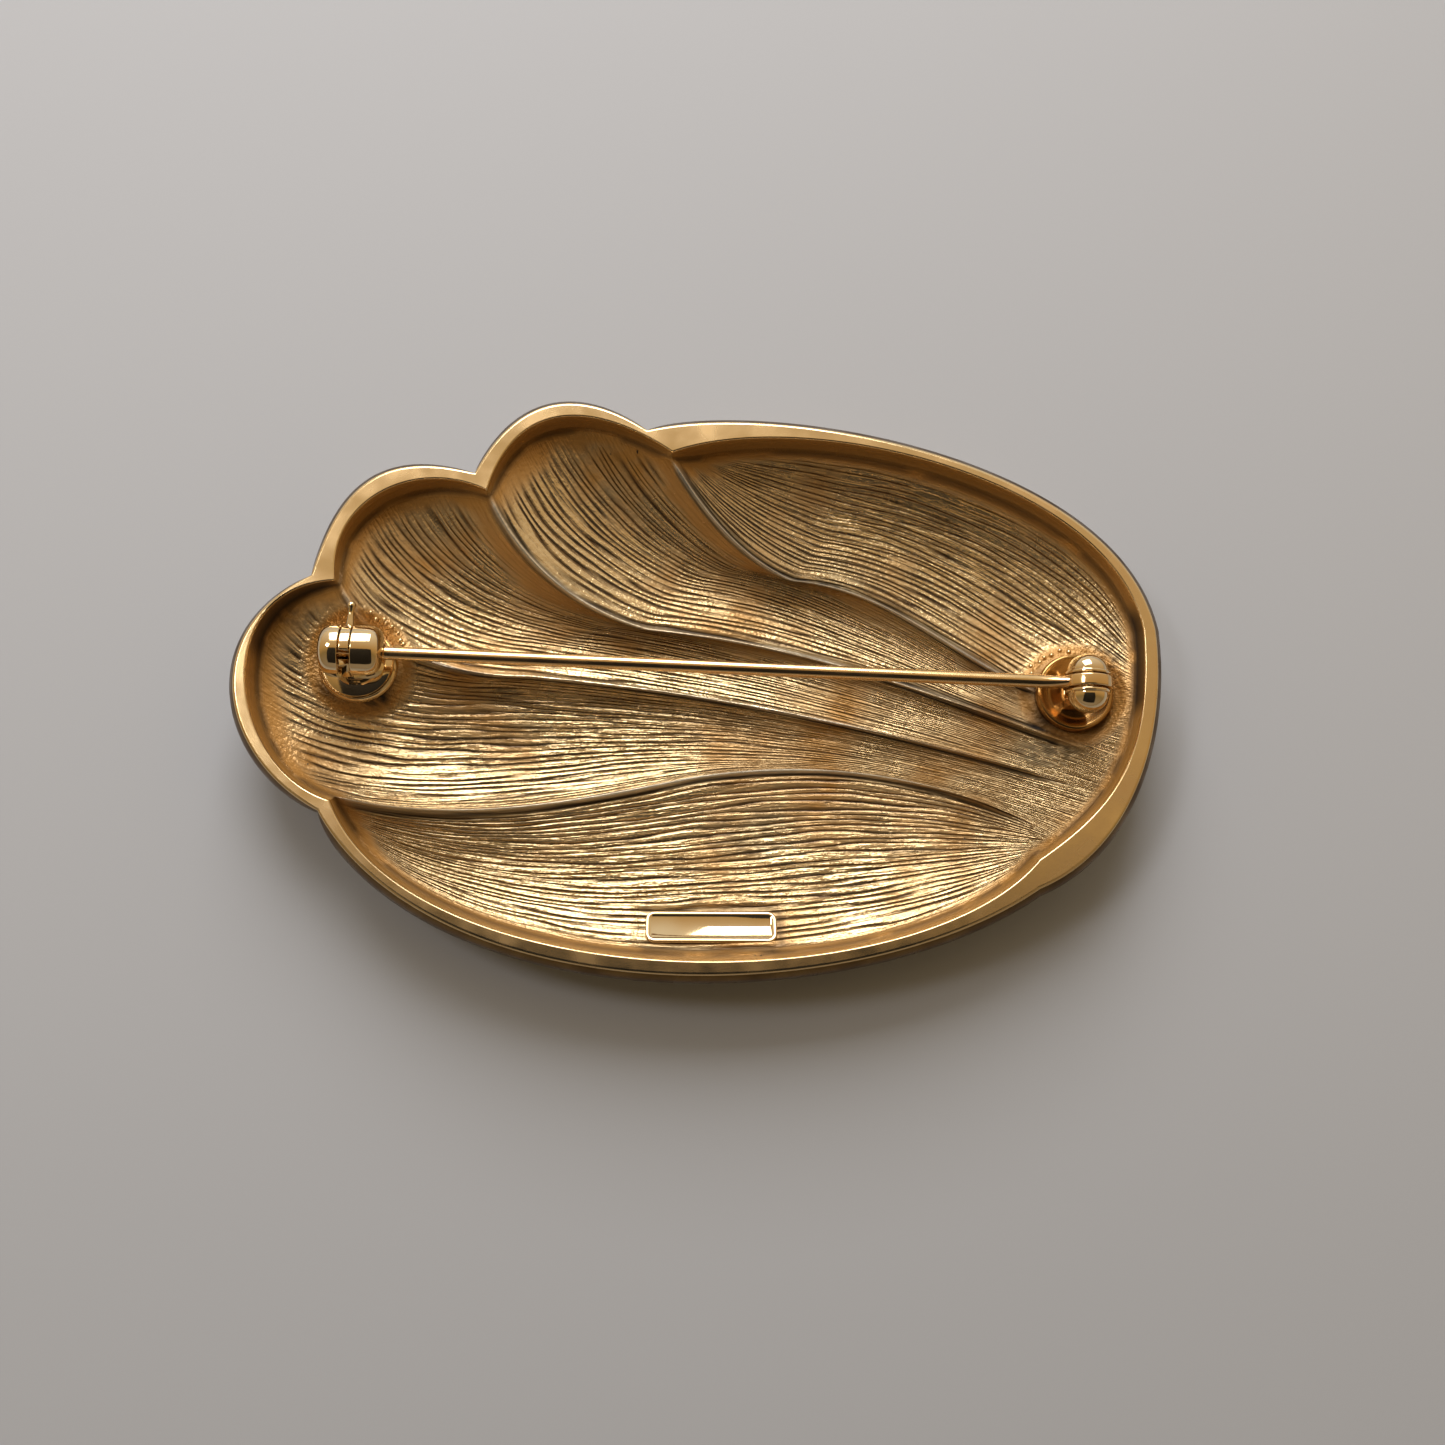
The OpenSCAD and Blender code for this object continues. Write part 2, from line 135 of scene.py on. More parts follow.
def cubic(handles, t):
    """Points of a cubic curve at the shares t."""
    c = np.asarray(handles, float)
    t = np.asarray(t, float)[..., None]
    return (1 - t) ** 3 * c[0] + 3 * (1 - t) ** 2 * t * c[1] + 3 * (1 - t) * t**2 * c[2] + t**3 * c[3]


def ridge_curve(k, u):
    """Ridge k at the shares u, from the root to its notch."""
    share, points = RIDGE_SHARE[k], RIDGES[k]
    near = cubic(points[:4], np.clip(u / share, 0, 1))
    far = cubic(points[3:], np.clip((u - share) / (1 - share), 0, 1))
    return np.where((u < share)[:, None], near, far)


print("edges:", len(OUTER_EDGES), "ridges:", len(RIDGES))

# %% [markdown]
# A grid covers the plan. Its rows run from the root to the tips and its columns run
# across the lobes. The rows are a little closer at both ends, where the metal turns
# most. Each lobe has its own number of columns, so that a wide lobe has as many points
# to the millimetre as a narrow one: the brushed lines need about four each.

# %% Choose the rows and columns
FINE = 1
COLUMNS = [int(n * FINE / 2) * 2 for n in (100, 124, 104, 96, 108)]
ROWS = int(116 * FINE / 2) * 2


def lobe_shares(counts):
    """Column positions: the whole part is the lobe and the rest the share across it."""
    steps = [k + np.arange(n) / n for k, n in enumerate(counts)]
    return np.append(np.concatenate(steps), LOBES)


def row_shares(count):
    even = np.arange(count + 1) / count
    crowded = (1 - np.cos(np.pi * even)) / 2
    return (even + crowded) / 2


def edge_loop(edges, u, v):
    """The closed edge: root, top lobe, scalloped tips, bottom crescent."""
    root = cubic(edges[0], np.interp(v, range(LOBES + 1), ROOT_STOPS))
    top = cubic(edges[1], (1 - FAN_TIP) * u)
    tip = np.where((v > 4)[:, None], cubic(edges[1], 1 - FAN_TIP * (v - 4)), 0.0)
    for k, edge in ((3, edges[2]), (2, edges[3]), (1, edges[4])):
        here = (v > k) & (v <= k + 1)
        tip[here] = cubic(edge, k + 1 - v[here])
    tip[v <= 1] = cubic(edges[5], CRESCENT_TIP * (1 - v[v <= 1]))
    bottom = cubic(edges[5], 1 - (1 - CRESCENT_TIP) * u)
    return np.concatenate([root[:-1], top[:-1], tip[:0:-1], bottom[:0:-1]])


def loop_shares(u, v):
    """The row and column shares of each point of the closed edge."""
    n, m = len(u) - 1, len(v) - 1
    along = np.concatenate([np.zeros(m), u[:-1], np.ones(m), u[:0:-1]])
    across = np.concatenate([v[:-1], np.full(n, v[-1]), v[:0:-1], np.zeros(n)])
    return along, across


floor_u, floor_v = row_shares(ROWS), lobe_shares(COLUMNS)
print("rows", len(floor_u), "columns", len(floor_v))

# %% [markdown]
# The blend is a Coons patch, one for each lobe: a point is the mean of its two ridges
# and of its root and tip edges, less the part that both have counted. It makes lines
# that flow along the lobes, and the brushed finish will follow them.


# %% Blend the lobes between their ridges
def split_loop(loop, n, m):
    """The four sides of a closed edge, all from the root or from the bottom."""
    ring = np.vstack([loop, loop[:1]])
    root, top = ring[: m + 1], ring[m : m + n + 1]
    tip, bottom = ring[m + n : 2 * m + n + 1][::-1], ring[2 * m + n :][::-1]
    return root, top, tip, bottom


def blend_lobes(loop, u, v):
    """Plan positions of the whole grid inside a closed edge."""
    n, m = len(u) - 1, len(v) - 1
    root, top, tip, bottom = split_loop(loop, n, m)
    lines = [bottom]
    for k in range(LOBES - 1):
        j = int(np.searchsorted(v, k + 1 - 1e-9))
        line = ridge_curve(k, u)
        line += (1 - u)[:, None] * (root[j] - line[0]) + u[:, None] * (tip[j] - line[-1])
        lines.append(line)
    lines.append(top)
    lobe = np.minimum(v.astype(int), LOBES - 1)
    f = (v - lobe)[None, :, None]
    w = u[:, None, None]
    below = np.stack([lines[k] for k in lobe], axis=1)
    above = np.stack([lines[k + 1] for k in lobe], axis=1)
    ends = (1 - w) * root[None] + w * tip[None]
    corners = (1 - f) * ((1 - w) * below[:1] + w * below[-1:]) + f * ((1 - w) * above[:1] + w * above[-1:])
    return (1 - f) * below + f * above + ends - corners


def outward(loop, spread):
    """Outward directions at each point of a loop, evened out over spread neighbours."""
    along = np.roll(loop, -1, 0) - np.roll(loop, 1, 0)
    normal = np.column_stack([along[:, 1], -along[:, 0]])
    normal /= np.linalg.norm(normal, axis=1)[:, None]
    weights = np.hanning(2 * spread + 3)[1:-1]
    padded = np.vstack([normal[-spread:], normal, normal[:spread]])
    even = np.column_stack([np.convolve(padded[:, i], weights, "valid") for i in (0, 1)])
    return even / np.linalg.norm(even, axis=1)[:, None]


# %% [markdown]
# ## How deep the hollow is
# Inside the flat rim the wall steps down, then the whole hollow bowls, and each lobe
# is a trough of its own between two crested ridges. The step fades to almost nothing
# at the notches, where the ridges climb to the rim. These are the sums that the CAD
# casting uses, so the fine mesh lies where the coarse one does.

# %% Work out the depth below the rim
METAL, SIDE_STEP, TIP_STEP, NOTCH_STEP, ROOT_STEP = 1.2, 1.5, 1.9, 0.35, 1.2
BOWL, TROUGH = 2.8, 0.7
PAD_FLAT, PAD_BLEND = 2.5, 3.6


def between_notches(v):
    """0 on a notch, 1 halfway between two of them."""
    first, last = np.sin(np.pi / 2 * (1 - v)), np.sin(np.pi / 2 * (v - LOBES + 1))
    return np.where(v < 1, first, np.where(v > LOBES - 1, last, np.abs(np.sin(np.pi * v))))


def arch(x, power):
    """0 at both ends of a span, 1 in its middle."""
    return np.clip(1 - np.abs(2 * x - 1) ** power, 0, None)


def step_depth(u, v):
    tip = NOTCH_STEP + (TIP_STEP - NOTCH_STEP) * between_notches(v) ** 0.6
    return u * u * tip + (1 - u * u) * (ROOT_STEP * (1 - u) + SIDE_STEP * u)


def hollow_depth(u, v):
    bowl = BOWL * arch(u, 2) * np.sqrt(arch(v / LOBES, 3))
    lobes = TROUGH * arch(u, 4) * np.abs(np.sin(np.pi * v)) ** 0.8
    return step_depth(u, v) + bowl + lobes


def ease(start, end, x):
    t = np.clip((x - start) / (end - start), 0, 1)
    return t * t * (3 - 2 * t)


u_grid, v_grid = np.meshgrid(floor_u, floor_v, indexing="ij")
print("deepest", round(float(hollow_depth(u_grid, v_grid).max()), 2), "mm below the rim")

# %% [markdown]
# ## The brushed lines
# The back was not polished: the pattern was scored with a wire brush along each lobe,
# and the plating copies every score. Two things draw them here. This step makes soft
# waves in the metal itself, about half a millimetre apart and deeper near the root,
# where they catch the light one by one. The thin grooves between them are finer than a
# mesh can carry, so the material of the plate cuts those further down. The height of
# the waves is seeded noise stretched along the lobe. Its spacing is picked from steps
# of two by the lobe's local width, so that lines merge towards the root as brushed ones
# do.

# %% Score the brushed lines
LINE_PITCH = 0.50
LINE_LENGTH = 9.0
# Half their height, in mm, and how many times deeper they are near the root
LINE_DEPTH, ROOT_LINES = 0.012, 3.0


def noise_table(seed, rows=257, columns=509):
    return np.random.RandomState(seed).rand(rows, columns)


def smooth_noise(table, x, y):
    """Value noise: x runs over the columns and y over the rows of a seeded table."""
    xi, yi = np.floor(x).astype(int), np.floor(y).astype(int)
    fx, fy = x - xi, y - yi
    fx, fy = fx * fx * (3 - 2 * fx), fy * fy * (3 - 2 * fy)
    rows, columns = table.shape
    a = table[yi % rows, xi % columns] * (1 - fx) + table[yi % rows, (xi + 1) % columns] * fx
    b = table[(yi + 1) % rows, xi % columns] * (1 - fx) + table[(yi + 1) % rows, (xi + 1) % columns] * fx
    return a * (1 - fy) + b * fy


def grid_lengths(plan, v):
    """Distance of each point from the root along the lobe, and the lobe's width there, in mm."""
    along = np.linalg.norm(np.diff(plan, axis=0), axis=2)
    travelled = np.vstack([np.zeros(plan.shape[1]), np.cumsum(along, axis=0)])
    across = np.linalg.norm(np.gradient(plan, axis=1), axis=2) / np.gradient(v)[None, :]
    return travelled, np.clip(across, 0.5, None)


def brushed_lines(plan, v, seed):
    """Height of the brushed lines over a grid, about 0 on average, in shares of their depth."""
    travelled, width = grid_lengths(plan, v)
    octave = np.log2(width / LINE_PITCH)
    whole = np.floor(octave)
    share = ease(0.25, 0.75, octave - whole)
    height = np.zeros(width.shape)
    for step, weight in ((0, 1 - share), (1, share)):
        lines = 2.0 ** (whole + step)
        level = (whole + step).astype(int)
        for n in np.unique(level):
            table = noise_table(seed + 17 * int(n))
            x, y = v[None, :] * lines * 1.9, travelled / LINE_LENGTH + 5 * v[None, :]
            fine = smooth_noise(table, x, y)
            height += np.where(level == n, weight * fine, 0)
    return height - 0.5


print("brushed lines every", LINE_PITCH, "mm")

# %% [markdown]
# ## Gold plate
# Costume gold is a few tenths of a micron of plate over a white-metal or brass casting.
# It is a true metal, so its shader starts with Metallic at 1 and the colour is the
# metal's own. What tells one part from another is how its surface was left: scored by
# the wire brush, tumbled smooth on the rim, or polished on the findings. One helper
# turns the sRGB hex colours to the linear values that Blender wants, and one adds a
# node.


# %% Helpers for colours and nodes
def linear(code):
    """An sRGB hex colour as the linear values that a shader takes."""
    parts = [int(code[i : i + 2], 16) / 255 for i in (1, 3, 5)]
    return (*[c / 12.92 if c <= 0.04045 else ((c + 0.055) / 1.055) ** 2.4 for c in parts], 1.0)


def add(tree, kind, links=(), **settings):
    """Adds a node: settings are its own, and links pair an input with a socket or a value."""
    node = tree.nodes.new(kind)
    for name, value in settings.items():
        setattr(node, name, value)
    for name, source in links:
        if isinstance(source, bpy.types.NodeSocket):
            tree.links.new(source, node.inputs[name])
        else:
            node.inputs[name].default_value = source
    return node


def blank_metal(name):
    """A new material with an empty tree and its shader."""
    material = bpy.data.materials.new(name)
    material.use_nodes = True
    tree = material.node_tree
    tree.nodes.clear()
    shader = add(tree, "ShaderNodeBsdfPrincipled", [("Metallic", 1.0)])
    output = add(tree, "ShaderNodeOutputMaterial")
    tree.links.new(shader.outputs[0], output.inputs[0])
    return material, tree, shader


def blend_colours(tree, share, first, second):
    """A colour that goes from first to second as share goes from 0 to 1."""
    pair = [(6, first), (7, second), (0, share)]
    return add(tree, "ShaderNodeMix", pair, data_type="RGBA").outputs[2]


# %% [markdown]
# The scored plate of the hollow is pale gold. It is redder in patches, and on the smooth
# floor beside the walls, where a film of old polish has stayed. That film isn't metal,
# so it lowers Metallic. Metallic is lowered on the crests of the ridge lines too, which
# are painted pale as a painted highlight that looks the same from every side. The floor
# is darker in a ragged ring round the findings and has specks of grime about 0.3 mm
# wide, and the same dark colour is painted shade in the crease at the foot of the wall.
# The mesh carries where all this lies: state holds the grime and painted shade, the
# solder grain and how well scored a point is, and worn says how strong the painted
# highlight on a crest is.
#
# The brush has cut thin grooves, 0.34 mm apart where a lobe is 9 mm wide and closer
# where it narrows. They run true to the lobes because they read the casting's flow
# attribute, the way along and across them in millimetres. The way across is folded to
# and fro, which draws even lines. One stretched noise bends them and another fades them
# out here and there, as a brush does that bounces. Their beds are painted dark, as
# painted shade, and finer hairlines run between them. Round the findings the solder has
# left a grainy skin, which takes their place.

# %% Brushed plate of the hollow and the front
# The pale crest colour is a painted highlight on the ridge crests, the groove colour is painted shade in the
# groove beds, and the darkest colour is real grime and painted shade.
GOLD_WORN, GOLD_RED, CREST_HIGHLIGHT, GROOVE_SHADE, GRIME_AND_SHADE = "#E2C798", "#B98A4A", "#FFF6E2", "#3A220C", "#1C1209"
# Sizes in mm: pitch across the lobe, run along it
GROOVE_PITCH, GROOVE_HALF, GROOVE_DEPTH = 0.34, 0.10, 0.085
WANDER, WANDER_RUN, FADE_RUN = 0.8, 9.0, 5.0
HAIR_PITCH, HAIR_RUN, HAIR_SHARE = 0.10, 1.2, 0.6
PATCH, SPECK, GRAIN = 6.25, 0.30, 0.28
# Values of the noise between which a groove, a red patch and a speck come in
FADE_RANGE, PATCH_RANGE, SPECK_RANGE = (0.22, 0.50), (0.48, 0.72), (0.70, 0.76)
# Metallic of clean plate, then of filmed plate and painted crest highlight; roughness of clean plate, then of
# grimy and painted-shade plate
METAL_RANGE, ROUGH_RANGE = (0.85, 0.35), (0.23, 0.60)
PLAIN_GRAIN, SOLDER_GRAIN = 0.5, 1.3


def stretched_noise(tree, flow, run, pitch, detail):
    """Noise drawn out along the flow: run and pitch are its size along and across, in mm."""
    pull = [("Vector", flow), ("Scale", (1 / run, 1 / pitch, 1.0))]
    stretched = add(tree, "ShaderNodeMapping", pull).outputs[0]
    inputs = [("Vector", stretched), ("Scale", 1.0), ("Detail", detail)]
    return add(tree, "ShaderNodeTexNoise", inputs).outputs[0]


def even_noise(tree, place, size, detail):
    """Noise on object coordinates whose spots are size mm wide."""
    inputs = [("Vector", place), ("Scale", 1 / (size * MM)), ("Detail", detail)]
    return add(tree, "ShaderNodeTexNoise", inputs).outputs[0]


def groove_share(tree, flow, scored):
    """1 in the bed of a groove, 0 beside it and where the brush has not been."""
    across = add(tree, "ShaderNodeSeparateXYZ", [(0, flow)]).outputs[1]
    wander = stretched_noise(tree, flow, WANDER_RUN, WANDER, 1.5)
    bent = [(0, wander), (1, WANDER), (2, across)]
    phase = add(tree, "ShaderNodeMath", bent, operation="MULTIPLY_ADD").outputs[0]
    folded = [(0, phase), (1, GROOVE_PITCH / 2)]
    away = add(tree, "ShaderNodeMath", folded, operation="PINGPONG").outputs[0]
    bed = [("Value", away), ("From Max", GROOVE_HALF), ("To Min", 1.0), ("To Max", 0.0)]
    score = add(tree, "ShaderNodeMapRange", bed).outputs[0]
    fade = stretched_noise(tree, flow, FADE_RUN, GROOVE_PITCH, 1.0)
    limits = [("Value", fade), ("From Min", FADE_RANGE[0]), ("From Max", FADE_RANGE[1])]
    kept = add(tree, "ShaderNodeMapRange", limits).outputs[0]
    cut = add(tree, "ShaderNodeMath", [(0, score), (1, kept)], operation="MULTIPLY").outputs[0]
    return add(tree, "ShaderNodeMath", [(0, cut), (1, scored)], operation="MULTIPLY").outputs[0]


def brushed_relief(tree, flow, place, groove, solder):
    """The bump of the grooves, the hairlines between them and the grain of the solder."""
    hair = stretched_noise(tree, flow, HAIR_RUN, HAIR_PITCH, 2.0)
    fine = add(tree, "ShaderNodeMath", [(0, hair), (1, HAIR_SHARE)], operation="MULTIPLY").outputs[0]
    level = add(tree, "ShaderNodeMath", [(0, fine), (1, groove)], operation="SUBTRACT").outputs[0]
    grain = even_noise(tree, place, GRAIN, 2.0)
    share = [(0, solder), (1, SOLDER_GRAIN), (2, PLAIN_GRAIN)]
    coarse = add(tree, "ShaderNodeMath", share, operation="MULTIPLY_ADD").outputs[0]
    both = [(0, grain), (1, coarse), (2, level)]
    height = add(tree, "ShaderNodeMath", both, operation="MULTIPLY_ADD").outputs[0]
    bump = [("Height", height), ("Strength", 1.0), ("Distance", GROOVE_DEPTH * MM)]
    return add(tree, "ShaderNodeBump", bump).outputs[0]


def brushed_plate():
    material, tree, shader = blank_metal("brushed_gold_plate")
    place = add(tree, "ShaderNodeTexCoord").outputs["Object"]
    flow = add(tree, "ShaderNodeAttribute", attribute_name="flow").outputs["Vector"]
    state = add(tree, "ShaderNodeAttribute", attribute_name="state").outputs["Vector"]
    worn = add(tree, "ShaderNodeAttribute", attribute_name="worn").outputs["Fac"]
    grime_and_shade, solder, scored = add(tree, "ShaderNodeSeparateXYZ", [(0, state)]).outputs
    groove = groove_share(tree, flow, scored)
    relief = brushed_relief(tree, flow, place, groove, solder)
    tree.links.new(relief, shader.inputs["Normal"])

    tint = even_noise(tree, place, PATCH, 4.0)
    limits = [("Value", tint), ("From Min", PATCH_RANGE[0]), ("From Max", PATCH_RANGE[1])]
    patchy = add(tree, "ShaderNodeMapRange", limits).outputs[0]
    smooth_floor = add(tree, "ShaderNodeMath", [(0, 1.0), (1, scored)], operation="SUBTRACT").outputs[0]
    red = add(tree, "ShaderNodeMath", [(0, patchy), (1, smooth_floor)], operation="MAXIMUM").outputs[0]
    warm = blend_colours(tree, red, linear(GOLD_WORN), linear(GOLD_RED))
    # Painted shade: the bed of each groove is painted dark.
    groove_shaded = blend_colours(tree, groove, warm, linear(GROOVE_SHADE))

    speck = even_noise(tree, place, SPECK, 1.0)
    limits = [("Value", speck), ("From Min", SPECK_RANGE[0]), ("From Max", SPECK_RANGE[1])]
    dots = add(tree, "ShaderNodeMapRange", limits).outputs[0]
    spots = add(tree, "ShaderNodeMath", [(0, dots), (1, patchy)], operation="MULTIPLY").outputs[0]
    grimy_and_shaded = add(tree, "ShaderNodeMath", [(0, grime_and_shade), (1, spots)], operation="MAXIMUM").outputs[0]
    # Real grime and painted shade share this dark colour.
    soiled_and_shaded = blend_colours(tree, grimy_and_shaded, groove_shaded, linear(GRIME_AND_SHADE))
    # Painted highlight: the crests of the ridge lines take the pale crest colour here.
    tree.links.new(blend_colours(tree, worn, soiled_and_shaded, linear(CREST_HIGHLIGHT)), shader.inputs["Base Color"])

    # Metallic is lowered under the film of polish and under the painted crest highlight.
    film_and_highlight = add(tree, "ShaderNodeMath", [(0, red), (1, worn)], operation="MAXIMUM").outputs[0]
    for name, share, (clean, covered) in (("Metallic", film_and_highlight, METAL_RANGE), ("Roughness", grimy_and_shaded, ROUGH_RANGE)):
        ends = [("Value", share), ("To Min", clean), ("To Max", covered)]
        tree.links.new(add(tree, "ShaderNodeMapRange", ends).outputs[0], shader.inputs[name])
    return material


brushed_gold = brushed_plate()
print("made", brushed_gold.name)

# %% [markdown]
# The rim, the outer wall and the findings were polished, so their plate is smooth.
# Handling has left it with hairline scratches that run every way and with a slightly
# uneven gloss, from finger marks a few millimetres across. The same finish is made again
# in deeper colours for the outer wall and the dish of the hinge, as painted shade. The
# stem is drawn wire, so its faint lines run lengthwise, along X.

# %% Polished plate, and the drawn wire of the stem
SCRATCH, SCRATCH_DEPTH, MARK = 1 / 4.5, 0.01, 1 / 0.42


def polished_plate(name, pale, deep, gloss, stretch=(1.0, 1.0, 1.0)):
    material, tree, shader = blank_metal(name)
    place = add(tree, "ShaderNodeTexCoord").outputs["Object"]
    pulled = add(tree, "ShaderNodeMapping", [("Vector", place), ("Scale", stretch)]).outputs[0]
    hair = even_noise(tree, pulled, SCRATCH, 4.0)
    marks = even_noise(tree, place, MARK, 2.0)
    tree.links.new(blend_colours(tree, marks, linear(pale), linear(deep)), shader.inputs["Base Color"])
    ends = [("From Min", 0.3), ("From Max", 0.7), ("To Min", gloss), ("To Max", 2.2 * gloss)]
    rough = add(tree, "ShaderNodeMapRange", [("Value", marks), *ends])
    tree.links.new(rough.outputs[0], shader.inputs["Roughness"])
    relief = [("Height", hair), ("Strength", 0.12), ("Distance", SCRATCH_DEPTH * MM)]
    bump = add(tree, "ShaderNodeBump", relief)
    tree.links.new(bump.outputs[0], shader.inputs["Normal"])
    return material


rim_gold = polished_plate("tumbled_gold_rim", "#F2DEB6", "#DDB982", 0.14)
findings_gold = polished_plate("polished_gold_findings", "#F4E2BE", "#E2C08C", 0.05)
# Painted shade: darker copies of the polished plate for the outer wall and the hinge dish.
shaded_wall_gold = polished_plate("shaded_gold_wall", "#80602F", "#402D15", 0.20)
shaded_dish_gold = polished_plate("shaded_gold_dish", "#D2AC70", "#94683A", 0.12)
stem_gold = polished_plate("drawn_wire_gold", "#F1D6A6", "#DFB67E", 0.12, stretch=(0.06, 1.0, 1.0))
print("made", [m.name for m in (rim_gold, findings_gold, shaded_wall_gold, shaded_dish_gold, stem_gold)])

# %% [markdown]
# ## Writing the casting as one mesh
# The floor of the hollow starts as bmesh's plain grid, and each of its points is moved
# to its place on the lobes. The edge of the grid is then extruded ring by ring: up the
# inner wall, over the flat rim with a rounded edge on each side, and down the outer
# wall, which swells a little beyond the rim. The front is a second grid with half as
# many rows and columns, because it needs fewer, so every other point of the last ring
# is dissolved before the two are bridged. One closed shell of metal is the result.


# %% Helpers that turn grids and rings into mesh
def as_object(name, bm, finishes):
    """Turns a bmesh into an object of the scene."""
    mesh = bpy.data.meshes.new(name)
    bm.to_mesh(mesh)
    bm.free()
    for finish in finishes:
        mesh.materials.append(finish)
    made = bpy.data.objects.new(name, mesh)
    bpy.context.scene.collection.objects.link(made)
    return made


def new_piece(name, bm, finishes, body):
    """Finishes a bmesh as a smooth object that rides on a body of the frame."""
    piece = as_object(name, bm, finishes)
    for polygon in piece.data.polygons:
        polygon.use_smooth = True
    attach(piece, body)
    print(name, "has", len(piece.data.polygons), "faces")
    return piece


def placed_grid(bm, heights):
    """A bmesh grid whose point (i, j) takes the place heights[i, j], in mm."""
    rows, columns = heights.shape[0] - 1, heights.shape[1] - 1
    made = bmesh.ops.create_grid(bm, x_segments=columns, y_segments=rows, size=1)["verts"]
    grid = np.empty((rows + 1, columns + 1), dtype=object)
    for vert in made:
        i = round((vert.co.y + 1) / 2 * rows)
        j = round((vert.co.x + 1) / 2 * columns)
        grid[i, j] = vert
    for i in range(rows + 1):
        for j in range(columns + 1):
            grid[i, j].co = Vector(heights[i, j]) * MM
    return grid


def grid_rim(grid):
    """The points round a grid's edge, counter-clockwise from the root's low corner."""
    return [*grid[0, :-1], *grid[:-1, -1], *grid[-1, :0:-1], *grid[:0:-1, 0]]


def extrude_ring(bm, ring, places):
    """Extrudes a closed ring of points once and moves the new ring to places, in mm."""
    edges = [bm.edges.get((ring[i], ring[(i + 1) % len(ring)])) for i in range(len(ring))]
    made = bmesh.ops.extrude_edge_only(bm, edges=edges)["geom"]
    fresh = {v for v in made if isinstance(v, bmesh.types.BMVert)}
    following = []
    for vert in ring:
        mate = next(e.other_vert(vert) for e in vert.link_edges if e.other_vert(vert) in fresh)
        following.append(mate)
    for vert, place in zip(following, places):
        vert.co = Vector(place) * MM
    return following


# %% [markdown]
# The soldering pads are smooth, level bosses, so the brushed lines fade out round
# them. They also fade close to the wall, where a wire brush can't reach, and on a
# smooth band beside two of the ridges. Each ridge carries a thin raised line with a
# nick beside it, and a trench was pressed round the maker's tablet. The shares below
# say how much of each a point has, because the shape needs them, and so do the dirt and
# the painted shade in the nicks and the trench.

# %% Find the edges of the floor
WALL_FOOT, SWELL = 0.4, 0.55
FINDINGS = (catch_at, hinge_at)
loop_u, loop_v = loop_shares(floor_u, floor_v)
rim_outer = edge_loop(OUTER_EDGES, floor_u, floor_v)
rim_inner = edge_loop(INNER_EDGES, floor_u, floor_v)
SPREAD = max(2, int(7 * FINE))
out_outer, out_inner = outward(rim_outer, SPREAD), outward(rim_inner, SPREAD)
at_tip = loop_u == 1
clear = np.where(at_tip, 0.1 + 0.9 * np.sqrt(between_notches(loop_v)), 1.0)
step = step_depth(loop_u, loop_v)
foot_edge = rim_inner - WALL_FOOT * out_inner
foot_plan = blend_lobes(foot_edge, floor_u, floor_v)


def distance_from(edge_plan, plan):
    """Distance of each point of a grid from the nearest point of an edge, in mm."""
    tree = KDTree(len(edge_plan))
    for i, place in enumerate(edge_plan):
        tree.insert((*place, 0), i)
    tree.balance()
    return np.array([tree.find((*p, 0))[2] for p in plan.reshape(-1, 2)]).reshape(plan.shape[:2])


from_wall = distance_from(foot_edge, foot_plan)
print("floor points", from_wall.size, "up to", round(float(from_wall.max()), 1), "mm from the wall")

# %% Shares of ridge line, solder, scores and trench
# Heights, depths, widths and distances in mm
BEAD, BEAD_WIDTH = 0.18, 0.15
TRENCH, TRENCH_ROUND, TRENCH_AWAY = 0.22, 0.3, 0.25
TABLET_L, TABLET_W, TABLET_RISE, TABLET_SINK = 8.8, 2.2, 0.45, 0.35
TABLET_AT, TABLET_TILT, TABLET_TURN = (1.1, -16.2, rim_z - 3.1), math.radians(-20), math.radians(1.8)


def near(plan, centre):
    """Distance of each point from a finding's axis, seen from above, in mm."""
    return np.linalg.norm(plan - centre[:2], axis=-1)


def ridge_line(plan):
    """How much of the raised line along a ridge, and of the nicks beside it, a point has."""
    _, width = grid_lengths(plan, floor_v)
    ridge = np.clip(np.round(floor_v), 1, LOBES - 1)[None, :]
    across = (floor_v[None, :] - ridge) * width / BEAD_WIDTH
    bead = np.exp(-(across**2))
    below = np.exp(-((across + 2) ** 2))
    above = np.exp(-((across - 2) ** 2)) * (ridge > 2)
    fade = ease(0.02, 0.12, u_grid) * ease(0.0, 1.0, from_wall)
    for centre in FINDINGS:
        fade = fade * ease(PAD_FLAT, PAD_BLEND, near(plan, centre))
    return bead * fade, np.maximum(below, above) * fade


def solder_share(plan):
    """1 in the grainy ring of solder round each finding."""
    ring = np.zeros(plan.shape[:2])
    for centre in FINDINGS:
        away = near(plan, centre)
        begins = ease(PAD_FLAT - 0.3, PAD_FLAT + 0.1, away)
        ring += begins * (1 - ease(PAD_FLAT + 0.8, PAD_BLEND + 0.5, away))
    return ring


